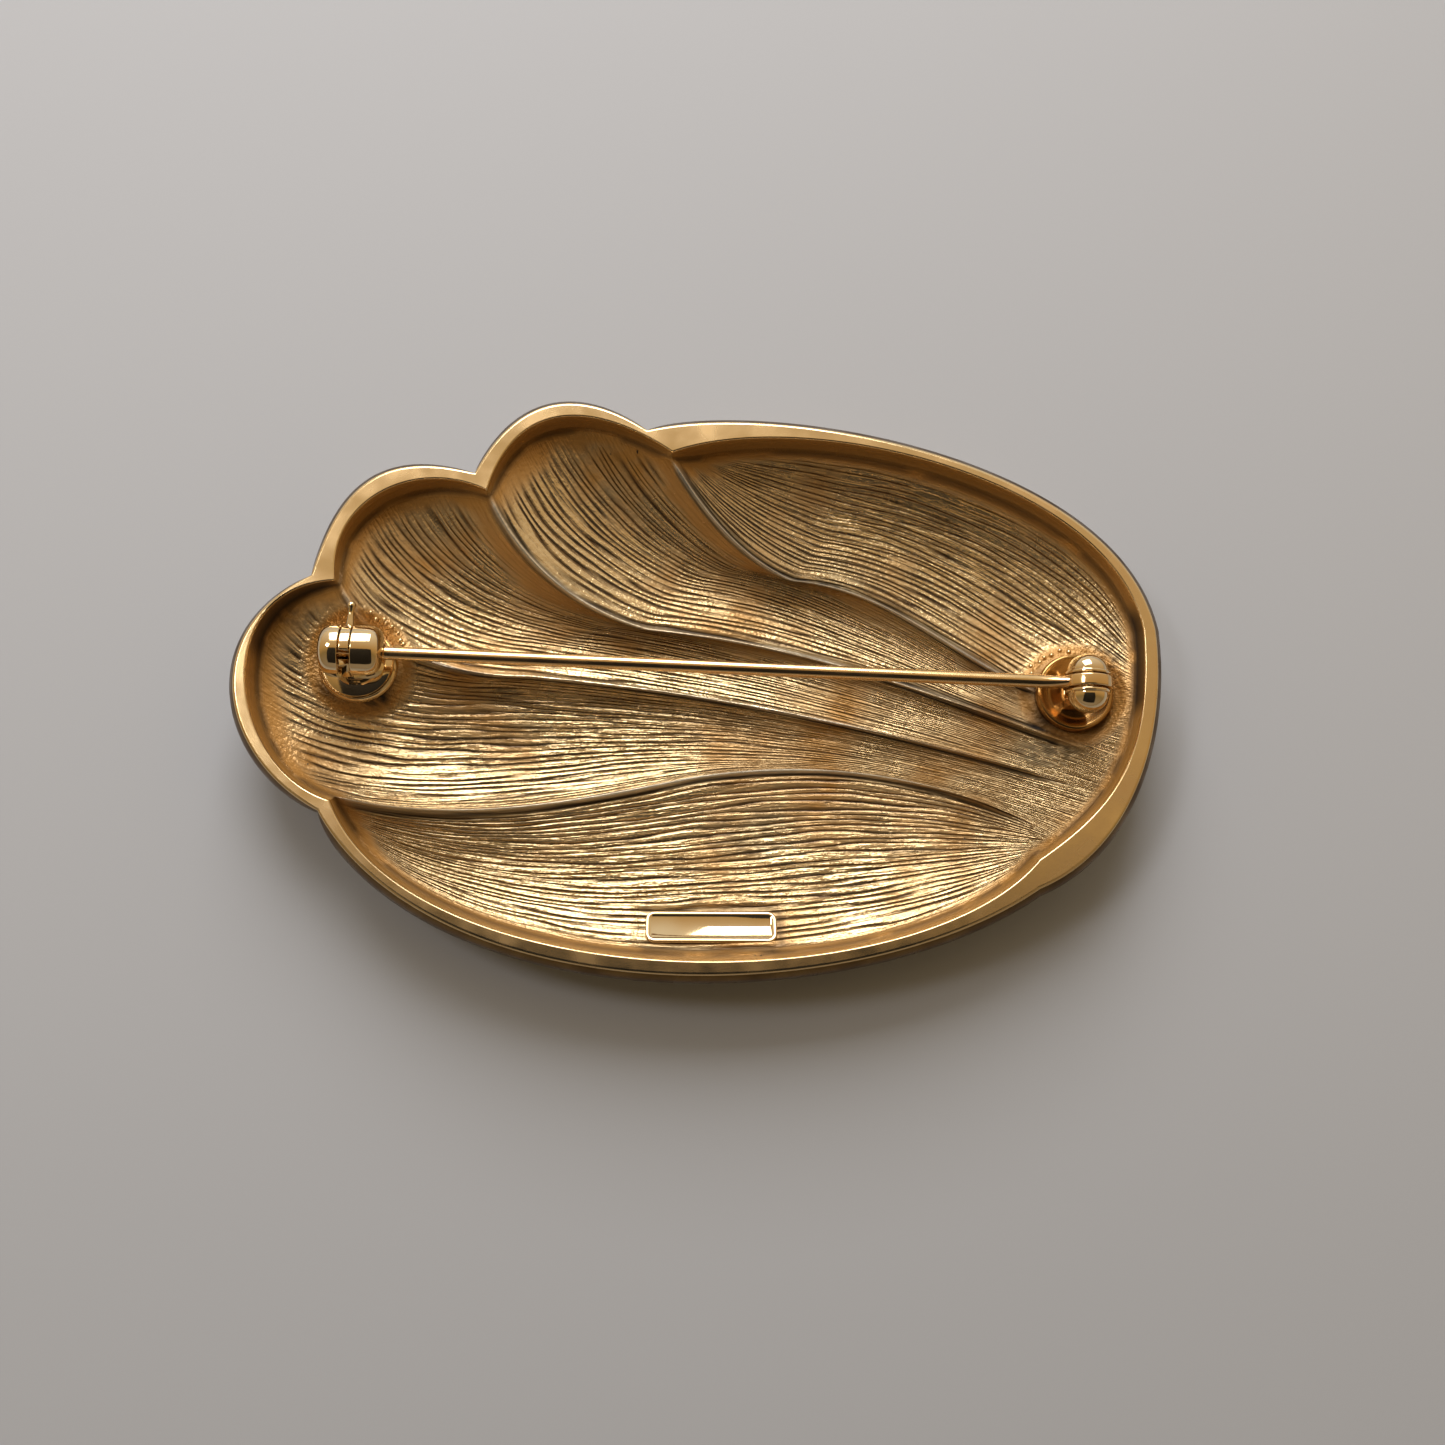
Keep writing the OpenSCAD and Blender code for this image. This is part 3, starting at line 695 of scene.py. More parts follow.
def scored_share(plan):
    """1 where the brush has scored the floor; it can't reach the foot of the scalloped wall."""
    travelled, width = grid_lengths(plan, floor_v)
    left = travelled[-1][None, :] - travelled
    wander = smooth_noise(noise_table(8), v_grid * 9, u_grid * 30) - 0.5
    share = ease(0.4, 2.6, left + 1.2 * wander) * ease(0.1, 0.7, from_wall)
    for ridge in (3, 4):
        band = (ridge - floor_v[None, :]) * width
        smooth = ease(0.1, 0.5, band) * (1 - ease(1.6, 3.2, band + 1.5 * wander))
        share = share * (1 - 0.85 * smooth * ease(0.3, 0.55, u_grid))
    for centre in FINDINGS:
        share = share * ease(PAD_FLAT - 0.2, PAD_BLEND, near(plan, centre))
    return share


def tablet_trench(plan):
    """The groove pressed into the floor round the maker's tablet."""
    x, y = plan[..., 0] - TABLET_AT[0], plan[..., 1] - TABLET_AT[1]
    cosine, sine = math.cos(TABLET_TURN), math.sin(TABLET_TURN)
    past_end = np.clip(np.abs(x * cosine + y * sine) - TABLET_L / 2 + TRENCH_ROUND, 0, None)
    past_side = np.clip(np.abs(y * cosine - x * sine) - TABLET_W / 2 + TRENCH_ROUND, 0, None)
    gap = np.hypot(past_end, past_side) - TRENCH_ROUND
    return TRENCH * np.exp(-(((gap - TRENCH_AWAY) / TRENCH_AWAY) ** 2))


print("trench", TRENCH, "mm deep, ridge line", BEAD, "mm high")

# %% [markdown]
# The floor's height adds them all up. The rings of the wall and the rim are a table of
# rows: how far a ring stands inside or outside an edge, and how far below the rim. They
# stay inside the CAD model's box. The front is the hollow's own surface, lowered by the
# thickness of the metal, with fainter waves, and worn level where it lies on a table.


# %% Place the floor, the rings and the front
FRONT_INSET = 0.7
BOX_LOW, BOX_HIGH = np.array(low)[:2] / MM + 0.005, np.array(high)[:2] / MM - 0.005


def floor_heights(plan):
    """Height of the hollow's floor: lobes, ridge lines, pads, trench and brushed lines."""
    z = rim_z - hollow_depth(u_grid, v_grid)
    for centre in FINDINGS:
        z += (pad_z - z) * (1 - ease(PAD_FLAT, PAD_BLEND, near(plan, centre)))
    bead, nick = ridge_line(plan)
    depth = LINE_DEPTH * (1 + (ROOT_LINES - 1) * (1 - ease(0.08, 0.35, u_grid)))
    waves = depth * scored_share(plan) * 2 * brushed_lines(plan, floor_v, seed=11)
    return z - tablet_trench(plan) + BEAD * (bead - nick) + waves


def ringed(plan, drop):
    """A ring's points: plan is kept inside the CAD box, and drop is below the rim."""
    plan = np.clip(plan, BOX_LOW, BOX_HIGH)
    return np.column_stack([plan, rim_z - np.broadcast_to(drop, len(plan))])


wall = step + METAL
swell = (SWELL * clear)[:, None] * out_outer
rings = [
    ringed(rim_inner - 0.22 * out_inner, 0.80 * step),
    ringed(rim_inner - 0.08 * out_inner, 0.40 * step),
    ringed(rim_inner - 0.01 * out_inner, 0.10),
    ringed(rim_inner + 0.02 * out_inner, 0.04),
    ringed(rim_inner + 0.07 * out_inner, 0.0),
    ringed(rim_inner + 0.12 * out_inner, 0.0),
    ringed(rim_outer - 0.17 * out_outer, 0.0),
    ringed(rim_outer - 0.12 * out_outer, 0.0),
    ringed(rim_outer - 0.02 * out_outer, 0.05),
    ringed(rim_outer + 0.10 * swell, 0.12),
    ringed(rim_outer + 0.70 * swell, 0.18 * wall + 0.05),
    ringed(rim_outer + 0.98 * swell, 0.40 * wall),
    ringed(rim_outer + 0.75 * swell, 0.66 * wall),
    ringed(rim_outer - 0.05 * out_outer, 0.88 * wall),
]
front_u, front_v = floor_u[::2], floor_v[::2]
front_edge = (rim_outer - FRONT_INSET * out_outer)[::2]
front_plan = blend_lobes(front_edge, front_u, front_v)
fu, fv = np.meshgrid(front_u, front_v, indexing="ij")
front_z = rim_z - hollow_depth(fu, fv)
for centre in FINDINGS:
    seat = front_z + (pad_z - front_z) * (1 - ease(PAD_FLAT, PAD_BLEND + 1, near(front_plan, centre)))
    front_z = np.minimum(front_z, seat)
front_z -= METAL
faded = 0.5 * LINE_DEPTH * np.minimum(1, 20 * fu * (1 - fu))
front_z += faded * brushed_lines(front_plan, front_v, seed=40)
front_z = np.maximum(front_z, low.z / MM + 0.001)
print("rings", len(rings), "front from", round(float(front_z.min()), 2), "mm")

# %% [markdown]
# The casting has three finishes. The floor, the foot of the inner wall and the front
# are brushed, the rim is tumbled, and the outer wall is painted darker, as painted shade.
# The material index of each face is set while it is still known which ring it came from.

# %% Build the casting from its grids and rings
# Painted shade on the lowest rings of the inner wall, ring by ring, as shares of the dark colour
WALL_RINGS, WALL_SHADE, OUTER_WALL = 3, (0.3, 0.15, 0.0), 9
# Stretches of the inner wall painted black, as painted shade: x, y, reach
SHADED_WALLS = [(-28.4, 4.2, 4.2), (28.9, 3.0, 4.0)]


def painted_wall_shade(vert):
    """How black a point of the inner wall is painted, as painted shade, from 0 to 1."""
    x, y = vert.co.x / MM, vert.co.y / MM
    return max(1 - ease(0.7, 1.1, math.hypot(x - bx, y - by) / reach) for bx, by, reach in SHADED_WALLS)


cast = bmesh.new()
flow_layer = cast.verts.layers.float_vector.new("flow")
state_layer = cast.verts.layers.float_vector.new("state")
worn_layer = cast.verts.layers.float.new("worn")
floor_points = np.dstack([foot_plan, floor_heights(foot_plan)])
floor_grid = placed_grid(cast, floor_points)
ring = grid_rim(floor_grid)
floor_faces = set(cast.faces)
for n, places in enumerate(rings):
    ring = extrude_ring(cast, ring, places)
    if n == WALL_RINGS - 1:
        inner_wall = set(cast.faces) - floor_faces
    if n == OUTER_WALL:
        not_outer = set(cast.faces)
    if n < WALL_RINGS:
        for vert in ring:
            # Painted shade on the inner wall, carried in the grime channel of state
            vert[state_layer] = (WALL_SHADE[n] + 0.65 * painted_wall_shade(vert), 0, 0)
bmesh.ops.dissolve_verts(cast, verts=ring[1::2])
wall_faces = set(cast.faces) - floor_faces
outer_wall = set(cast.faces) - not_outer
front_grid = placed_grid(cast, np.dstack([front_plan, front_z]))
front_faces = set(cast.faces) - floor_faces - wall_faces
bmesh.ops.reverse_faces(cast, faces=list(front_faces))
front_ring = grid_rim(front_grid)
kept_ring = ring[0::2]
loops = [
    [cast.edges.get((r[i], r[(i + 1) % len(r)])) for i in range(len(r))]
    for r in (kept_ring, front_ring)
]
bmesh.ops.bridge_loops(cast, edges=loops[0] + loops[1])
for face in cast.faces:
    face.material_index = 2 if face in outer_wall else 1
for face in [*floor_faces, *front_faces, *inner_wall]:
    face.material_index = 0
volume = round(cast.calc_volume() / MM**3)
print("open edges left:", sum(e.is_boundary for e in cast.edges), "volume", volume, "mm3")

# %% [markdown]
# Three attributes are stored on the points of the casting for its plate to read. Flow
# is how far along and across the lobes a point lies, with each lobe counted as 9 mm
# wide. State is how much grime and painted shade it holds, how much solder grain, and
# how well it is scored. Worn is how strong the painted highlight on the crest of a ridge
# line is. Painted shade lies in the crease where the floor meets the wall, beside the
# ridge lines and in the tablet's trench. The floor is also darker in a ragged ring round
# the seats of the findings, and dried polish lies in a few smears.

# %% Store the flow, the state and the painted highlight of the crests
ACROSS = 9.0
# How strong the painted highlight is on each ridge crest
RIDGE_HIGHLIGHT = [1.0, 1.0, 0.35, 0.6, 0.6, 0.6]
# Places where old polish has dried: x, y, half length, half width, strength
SMEARS = [
    (23.6, -3.4, 3.2, 1.2, 0.6), (28.2, 4.2, 1.2, 3.6, 0.6), (-23.0, -1.6, 2.6, 0.7, 0.5),
    (-27.6, 3.6, 2.6, 0.7, 0.6), (3.3, -9.4, 4.5, 2.8, 0.45), (8.0, 9.0, 6.0, 2.0, 0.3),
    (-14.0, -3.0, 6.0, 1.5, 0.3),
]
SEATS = [(catch_at, np.array([-0.1, -0.3, 0])), (hinge_at, np.array([-0.5, -0.6, 0]))]


def grime_and_shade_share(plan):
    """Grime of the hollow's floor and painted shade in its crease, nicks and trench, from 0 to 1."""
    patch = smooth_noise(noise_table(5), plan[..., 0] * 0.55 + 90, plan[..., 1] * 0.9 + 90)
    crease_shade = (1 - ease(0.0, 0.35, from_wall)) * ease(0.10, 0.5, patch)
    seat = sum(1 - ease(2.75, 3.3, near(plan, c + shift)) for c, shift in SEATS)
    broken = smooth_noise(noise_table(6), plan[..., 0] * 3.0 + 90, plan[..., 1] * 7.0 + 90)
    smear = 0
    for x, y, long, wide, strength in SMEARS:
        away = np.hypot((plan[..., 0] - x) / long, (plan[..., 1] - y) / wide)
        smear = smear + strength * (1 - ease(0.4, 1.0, away)) * ease(0.35, 0.65, broken)
    _, nick = ridge_line(plan)
    # The crease, nick and trench terms are painted shade. The seat ring and the smears of dried polish are
    # darker colour of the floor.
    dirt_and_shade = 0.6 * crease_shade + 0.9 * seat * patch + 0.8 * nick + smear + 2.5 * tablet_trench(plan)
    return np.clip(dirt_and_shade, 0, 1)


floor_travel, _ = grid_lengths(foot_plan, floor_v)
floor_grime_and_shade = grime_and_shade_share(foot_plan)
floor_solder = solder_share(foot_plan)
floor_scored = scored_share(foot_plan) * (1 - floor_solder)
crest_highlight_strength = np.interp(floor_v, range(LOBES + 1), RIDGE_HIGHLIGHT)
# Painted highlight along the crests of the ridge lines
floor_worn = np.clip(1.5 * ridge_line(foot_plan)[0], 0, 1) * ease(0.1, 0.4, u_grid) * crest_highlight_strength
for i, j in np.ndindex(floor_grid.shape):
    floor_grid[i, j][flow_layer] = (floor_travel[i, j], ACROSS * floor_v[j], 0)
    floor_grid[i, j][state_layer] = (floor_grime_and_shade[i, j], floor_solder[i, j], floor_scored[i, j])
    floor_grid[i, j][worn_layer] = floor_worn[i, j]
front_travel, _ = grid_lengths(front_plan, front_v)
for i, j in np.ndindex(front_grid.shape):
    front_grid[i, j][flow_layer] = (front_travel[i, j], ACROSS * front_v[j], 0)
    front_grid[i, j][state_layer] = (0, 0, 0.8)
print("mean grime", round(float(floor_grime_and_shade.mean()), 3))

# %% [markdown]
# Solder that ran past the bases froze as beads, about a third of a millimetre wide, in an
# arc above the catch and in a cluster above the hinge. Each is a small sphere sunk into
# the floor at the nearest point of the grid.

# %% Add the solder beads
# Centre, reach in mm, first and last angle in degrees, count
BEAD_ARCS = [(catch_at, 3.3, 15, 80, 9), (hinge_at, 3.2, 95, 160, 8)]
beads = np.random.RandomState(3)
floor_tree = KDTree(foot_plan.shape[0] * foot_plan.shape[1])
flat_points = floor_points.reshape(-1, 3)
for i, point in enumerate(flat_points):
    floor_tree.insert((point[0], point[1], 0), i)
floor_tree.balance()
solder_beads = set()
for centre, reach, first, last, count in BEAD_ARCS:
    for angle in np.radians(np.linspace(first, last, count) + beads.uniform(-3, 3, count)):
        away, size = reach + beads.uniform(-0.2, 0.25), beads.uniform(0.13, 0.21)
        place = centre[:2] + away * np.array([math.cos(angle), math.sin(angle)])
        z = flat_points[floor_tree.find((*place, 0))[1]][2] + 0.2 * size
        at = Matrix.Translation(Vector((*place, z)) * MM)
        made = bmesh.ops.create_icosphere(cast, subdivisions=2, radius=size * MM, matrix=at)["verts"]
        solder_beads |= {face for vert in made for face in vert.link_faces}
for face in solder_beads:
    face.material_index = 1
print("solder beads", sum(arc[4] for arc in BEAD_ARCS))

# %% Write the casting
casting = new_piece("casting", cast, [brushed_gold, rim_gold, shaded_wall_gold], "brooch_back")
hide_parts("cast_shell")

# %% [markdown]
# ## Turned findings
# The catch, the hinge and the stem are bought findings, and nearly all of their parts
# are turned shapes. They could be stacked from stock cylinders and spheres, but those
# have hard edges that never catch the light. So each is a drawn half-section, spun
# about its axis. A helper rounds the corners of the section first, with a radius of a
# few hundredths of a millimetre, as tumbling leaves them.


# %% Helpers for turned shapes
def rounded(corners, steps=4):
    """A section whose corners (radius, height, fillet) are rounded where fillet isn't 0."""
    points = []
    for i, (r, h, fillet) in enumerate(corners):
        here = np.array([r, h])
        if fillet == 0 or i in (0, len(corners) - 1):
            points.append(here)
            continue
        back = np.array(corners[i - 1][:2]) - here
        ahead = np.array(corners[i + 1][:2]) - here
        start = here + back / np.linalg.norm(back) * fillet
        end = here + ahead / np.linalg.norm(ahead) * fillet
        for t in np.linspace(0, 1, steps + 1):
            points.append((1 - t) ** 2 * start + 2 * (1 - t) * t * here + t * t * end)
    return points


def turned(bm, section, centre, axis, across, closed=False, sweep=2 * math.pi, steps=64):
    """Spins a section of (radius, height) points, in mm, about the axis through centre."""
    axis, across, centre = Vector(axis), Vector(across), Vector(centre)
    fresh = bmesh.new()
    verts = [fresh.verts.new((centre + across * r + axis * h) * MM) for r, h in section]
    pairs = list(zip(verts, verts[1:])) + ([(verts[-1], verts[0])] if closed else [])
    edges = [fresh.edges.new(pair) for pair in pairs]
    full = sweep == 2 * math.pi
    ends = verts + edges
    if closed and not full:
        ends.append(fresh.faces.new(verts))
    steps = max(12, int(steps * (1)))
    bmesh.ops.spin(fresh, geom=ends, cent=centre * MM, axis=axis, angle=sweep, steps=steps, use_merge=full)
    bmesh.ops.remove_doubles(fresh, verts=fresh.verts, dist=1e-7)
    bmesh.ops.recalc_face_normals(fresh, faces=fresh.faces)
    join(bm, fresh)


def join(bm, fresh):
    """Adds the finished shape in fresh to bm."""
    mesh = bpy.data.meshes.new("part")
    fresh.to_mesh(mesh)
    fresh.free()
    bm.from_mesh(mesh)
    bpy.data.meshes.remove(mesh)


def cut_away(bm, point, normal):
    """Cuts off what lies beyond a plane and closes the cut."""
    cut = bmesh.ops.bisect_plane(
        bm, geom=[*bm.verts, *bm.edges, *bm.faces], plane_co=Vector(point) * MM, plane_no=normal,
        clear_outer=True, dist=1e-8,
    )
    edges = [e for e in cut["geom_cut"] if isinstance(e, bmesh.types.BMEdge)]
    bmesh.ops.holes_fill(bm, edges=edges, sides=0)


def bar(bm, lowest, highest, edge):
    """A rectangular bar between two corners, in mm, with its edges rounded."""
    low_corner, high_corner = Vector(lowest) * MM, Vector(highest) * MM
    made = bmesh.ops.create_cube(bm, size=1)["verts"]
    bmesh.ops.scale(bm, verts=made, vec=high_corner - low_corner)
    bmesh.ops.translate(bm, verts=made, vec=(low_corner + high_corner) / 2)
    edges = list({e for v in made for e in v.link_edges})
    bmesh.ops.bevel(
        bm, geom=edges, offset=edge * MM, offset_type="OFFSET", affect="EDGES",
        segments=3, profile=0.5, material=-1, clamp_overlap=True,
    )


X_AXIS, Y_AXIS, Z_AXIS = (1, 0, 0), (0, 1, 0), (0, 0, 1)
catch_x, stem_y, axis_z = catch_at
hinge_x = hinge_at[0]
print("stem axis at y", round(stem_y, 2), "z", round(axis_z, 3))

# %% [markdown]
# The catch sits on a round base, domed like a button, which was sweated onto the pad.
# Its section runs from the middle of the dome to the edge and under it.

# %% Catch base
BASE_R, BASE_T = 2.7, 0.6
base = bmesh.new()
dome = [(0, BASE_T, 0), (1.3, BASE_T - 0.02, 0.3), (2.1, BASE_T - 0.12, 0.4), (2.58, 0.26, 0.2),
        (BASE_R, 0.0, 0), (BASE_R, -0.08, 0), (0, -0.08, 0)]
turned(base, rounded(dome), (catch_x, stem_y, pad_z), Z_AXIS, X_AXIS, steps=96)
catch_base = new_piece("catch_base_dome", base, [findings_gold], "brooch_back")
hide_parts("catch_base")

# %% [markdown]
# The barrel is a drum with rounded ends, split in two by the slot that the rotor turns
# in. Each half has a seat for the rotor's trunnion, a nest for the stem, and a mouth on
# one side that the stem leaves by. A boolean would cut these, but it leaves ragged
# shading on small polished parts. So the seat and the nest are part of the half-section
# and the mouth is cut by two planes.

# %% Catch barrel and its pedestal
BARREL_R, SLOT_HALF = 1.745, 0.40
BARREL_REACH = {-1: 1.85, 1: 2.35}
NEST_R, TRUNNION_R, TRUNNION_L = 0.55, 1.05, 0.40
MOUTH = 0.50


def barrel_section(reach):
    """Half-section of a barrel half, from the seat out over the drum and back to the nest."""
    seat = SLOT_HALF + TRUNNION_L + 0.05
    return [
        (NEST_R, seat, 0), (TRUNNION_R + 0.03, seat, 0.02), (TRUNNION_R + 0.03, SLOT_HALF, 0.03),
        (BARREL_R, SLOT_HALF, 0.09), (BARREL_R, reach - 0.02, 1.05),
        (NEST_R, reach, 0.10), (NEST_R, reach - 0.4, 0),
    ]


def open_mouth(bm, centre):
    """Takes out the strip between two level planes on the -Y side of a barrel half."""
    for height in (-MOUTH, MOUTH):
        level = (Vector(centre) + Vector((0, 0, height))) * MM
        bmesh.ops.bisect_plane(
            bm, geom=[*bm.verts, *bm.edges, *bm.faces], plane_co=level, plane_no=Z_AXIS, dist=1e-8
        )
    strip = []
    for face in bm.faces:
        middle = face.calc_center_median() / MM - Vector(centre)
        if middle.y < 0 and abs(middle.z) < MOUTH:
            strip.append(face)
    bmesh.ops.delete(bm, geom=strip, context="FACES")
    for side in (-1, 1):
        rim = [e for e in bm.edges if e.is_boundary and side * (e.verts[0].co.z / MM - centre[2]) > 0]
        bmesh.ops.edgeloop_fill(bm, edges=rim)


barrel = bmesh.new()
neck_top = axis_z - pad_z - 0.55
for side in (-1, 1):
    half = bmesh.new()
    section = [(r, side * h) for r, h in rounded(barrel_section(BARREL_REACH[side]), steps=8)]
    turned(half, section, (catch_x, stem_y, axis_z), X_AXIS, Z_AXIS, closed=True, steps=96)
    open_mouth(half, (catch_x, stem_y, axis_z))
    neck = bmesh.new()
    foot = [(0, 0.35, 0), (1.75, 0.35, 0.1), (1.5, 0.75, 0.3), (1.5, neck_top, 0), (0, neck_top, 0)]
    turned(neck, rounded(foot), (catch_x, stem_y, pad_z), Z_AXIS, X_AXIS)
    cut_away(neck, (catch_x + side * SLOT_HALF, stem_y, pad_z), (-side, 0, 0))
    join(half, neck)
    join(barrel, half)
web_top = pad_z + BASE_T + 0.35
bar(barrel, (catch_x - 0.5, stem_y - 1.3, pad_z + 0.4), (catch_x + 0.5, stem_y + 1.3, web_top), 0.05)
catch_barrel = new_piece("catch_barrel", barrel, [findings_gold], "brooch_back")
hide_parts("catch_housing")

# %% [markdown]
# The rotor is a slice of brass rod with a slot from its rim to its middle, so its
# section is spun part of a turn and both ends are closed. At rest the slot looks up and
# to the side, and the lever stands out over the other side. A quarter turn of the lever
# brings the solid part round and locks the stem in.

# %% Catch rotor with its thumb lever
ROTOR_R, ROTOR_HALF = BARREL_R - 0.05, 0.33
OPENING = (100, 200)
section = [
    (NEST_R, -ROTOR_HALF - TRUNNION_L, 0), (TRUNNION_R, -ROTOR_HALF - TRUNNION_L, 0.03),
    (TRUNNION_R, -ROTOR_HALF, 0), (ROTOR_R, -ROTOR_HALF, 0.07), (ROTOR_R, ROTOR_HALF, 0.07),
    (TRUNNION_R, ROTOR_HALF, 0), (TRUNNION_R, ROTOR_HALF + TRUNNION_L, 0.03),
    (NEST_R, ROTOR_HALF + TRUNNION_L, 0),
]
start, sweep = math.radians(OPENING[1]), math.radians(360 - OPENING[1] + OPENING[0])
rotor = bmesh.new()
turned(
    rotor, rounded(section), (catch_x, stem_y, axis_z), X_AXIS,
    (0, math.cos(start), math.sin(start)), closed=True, sweep=sweep, steps=72,
)
LEVER_AT, LEVER_BALL = BARREL_R + 1.35, 0.3
lever = [
    (0, ROTOR_R - 0.3, 0), (0.27, ROTOR_R - 0.3, 0),
    (0.27, ROTOR_R + 0.1, 0.2), (0.2, ROTOR_R + 0.75, 0.3),
]
angles = np.linspace(math.radians(-48), math.pi / 2, 12)[:-1]
ball = [(LEVER_BALL * math.cos(a), LEVER_AT + LEVER_BALL * math.sin(a)) for a in angles]
section = rounded(lever) + ball + [(0, LEVER_AT + LEVER_BALL)]
turned(rotor, section, (catch_x, stem_y, axis_z), Y_AXIS, X_AXIS, steps=32)
catch_rotor = new_piece("catch_rotor_lever", rotor, [findings_gold], "rotor")
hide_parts("catch_rotor")

# %% [markdown]
# The hinge stands in a shallow dish with a raised edge. The two half balls are the
# pressed ends of a folded strap, whose feet and web lie in the dish. A rivet runs
# through both of them and through the flat eye of the stem.

# %% Hinge dish
DISH_FLOOR, DISH_RIM = 0.4, 0.9
dish = [(0, DISH_FLOOR, 0), (1.7, DISH_FLOOR, 0.3), (2.22, 0.78, 0.12), (2.4, DISH_RIM, 0.08),
        (2.62, DISH_RIM - 0.03, 0.1), (BASE_R, 0.5, 0.1), (BASE_R - 0.04, -0.08, 0), (0, -0.08, 0)]
base = bmesh.new()
turned(base, rounded(dish), (hinge_x, stem_y, pad_z), Z_AXIS, X_AXIS, steps=96)
# The dish takes the darker copy of the plate, as painted shade.
hinge_dish = new_piece("hinge_dish", base, [shaded_dish_gold], "brooch_back")
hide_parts("hinge_base")

# %% Half balls, feet and web of the hinge
BALL_R, DOME_R, EAR_SIDE, RIVET_R = 1.5, 1.34, 0.52, 0.40
EAR_HALF, EAR_FOOT = 0.8, pad_z + DISH_FLOOR - 0.05
DOME_START = EAR_SIDE + 0.28
ears = bmesh.new()
for side in (-1, 1):
    edge = [
        (0, EAR_SIDE + 0.87, 0), (RIVET_R + 0.03, EAR_SIDE + 0.87, 0), (RIVET_R + 0.03, EAR_SIDE, 0.04),
        (BALL_R, EAR_SIDE, 0.07), (BALL_R, EAR_SIDE + 0.2, 0.07),
        (DOME_R, DOME_START - 0.04, 0.02), (DOME_R, DOME_START, 0),
    ]
    angles = np.linspace(0.05, math.pi / 2, 14)[:-1]
    dome = [(DOME_R * math.cos(a), DOME_START + (BALL_R - 0.28) * math.sin(a)) for a in angles]
    points = [(r, side * h) for r, h in rounded(edge) + dome + [(0, EAR_SIDE + BALL_R)]]
    turned(ears, points, (hinge_x, stem_y, axis_z), Y_AXIS, X_AXIS)
    near_side, far_side = sorted((stem_y + side * EAR_SIDE, stem_y + side * (EAR_SIDE + 0.7)))
    bar(ears, (hinge_x - EAR_HALF, near_side, EAR_FOOT), (hinge_x + EAR_HALF, far_side, axis_z), 0.12)
web_low = (hinge_x - EAR_HALF, stem_y - 1.2, EAR_FOOT)
web_high = (hinge_x + EAR_HALF, stem_y + 1.2, pad_z + DISH_FLOOR + 0.3)
bar(ears, web_low, web_high, 0.08)
hinge_ears = new_piece("hinge_half_balls", ears, [findings_gold], "brooch_back")
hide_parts("hinge_housing")

# %% Hinge rivet
RIVET_HALF = 1.32
rivet = bmesh.new()
pin = [(0, -RIVET_HALF, 0), (RIVET_R, -RIVET_HALF, 0.06), (RIVET_R, RIVET_HALF, 0.06), (0, RIVET_HALF, 0)]
turned(rivet, rounded(pin), (hinge_x, stem_y, axis_z), Y_AXIS, X_AXIS, steps=40)
hinge_rivet = new_piece("hinge_rivet_turned", rivet, [findings_gold], "rivet")
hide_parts("hinge_rivet")

# %% [markdown]
# The stem is one length of spring wire. Its point is ground to a long taper, and its
# other end is hammered flat and pierced for the rivet. The round wire is a circle
# extruded section by section, and the last sections narrow it sideways while they
# deepen it. The eye is a turned ring, because its hole has to be true.

# %% Pin stem
STEM_R, EYE_R, EYE_HALF = 0.45, 1.65, 0.40
TAPER, POINT_R = 3.8, 0.12
tip_x = catch_x - 1.3
tapered = []
for s in (0.03, 0.1, 0.25, 0.45, 0.7, 1.0):
    radius = POINT_R + (STEM_R - POINT_R) * s**0.8
    tapered.append((tip_x + TAPER * s, radius, radius))
straight = [(x, STEM_R, STEM_R) for x in np.linspace(tip_x + TAPER + 2, hinge_x - 3.4, 14)]
flattened = [(hinge_x - 2.9, 0.44, 0.46), (hinge_x - 2.4, 0.42, 0.50), (hinge_x - 1.9, EYE_HALF, 0.60),
             (hinge_x - 1.5, EYE_HALF, 0.80), (hinge_x - 1.0, EYE_HALF - 0.02, 1.0)]
stem = bmesh.new()
made = bmesh.ops.create_circle(stem, segments=32, radius=0.05 * MM, cap_ends=True)["verts"]
angles = [math.atan2(v.co.y, v.co.x) for v in made]
for vert, a in zip(made, angles):
    vert.co = Vector((tip_x, stem_y + 0.07 * math.cos(a), axis_z + 0.07 * math.sin(a))) * MM
ring = list(made)
for x, half_y, half_z in (*tapered, *straight, *flattened):
    section = [(x, stem_y + half_y * math.cos(a), axis_z + half_z * math.sin(a)) for a in angles]
    ring = extrude_ring(stem, ring, section)
stem.faces.new(ring)
bmesh.ops.recalc_face_normals(stem, faces=stem.faces)
bore = RIVET_R + 0.05
eye = [(bore, -EYE_HALF, 0), (EYE_R, -EYE_HALF, 0.12), (EYE_R, EYE_HALF, 0.12), (bore, EYE_HALF, 0)]
turned(stem, rounded(eye), (hinge_x, stem_y, axis_z), Y_AXIS, X_AXIS, closed=True)
pin_stem = new_piece("pin_stem_wire", stem, [stem_gold], "stem")
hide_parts("pin_stem")

# %% [markdown]
# The maker's tablet is a small plate with rounded corners, and it is blank here. It
# starts as a cube stretched to the size that the trench was cut for. Its upright edges
# and then the edges of its face are bevelled, and the face is inset twice, which leaves
# the thin raised border that a stamped plate has.

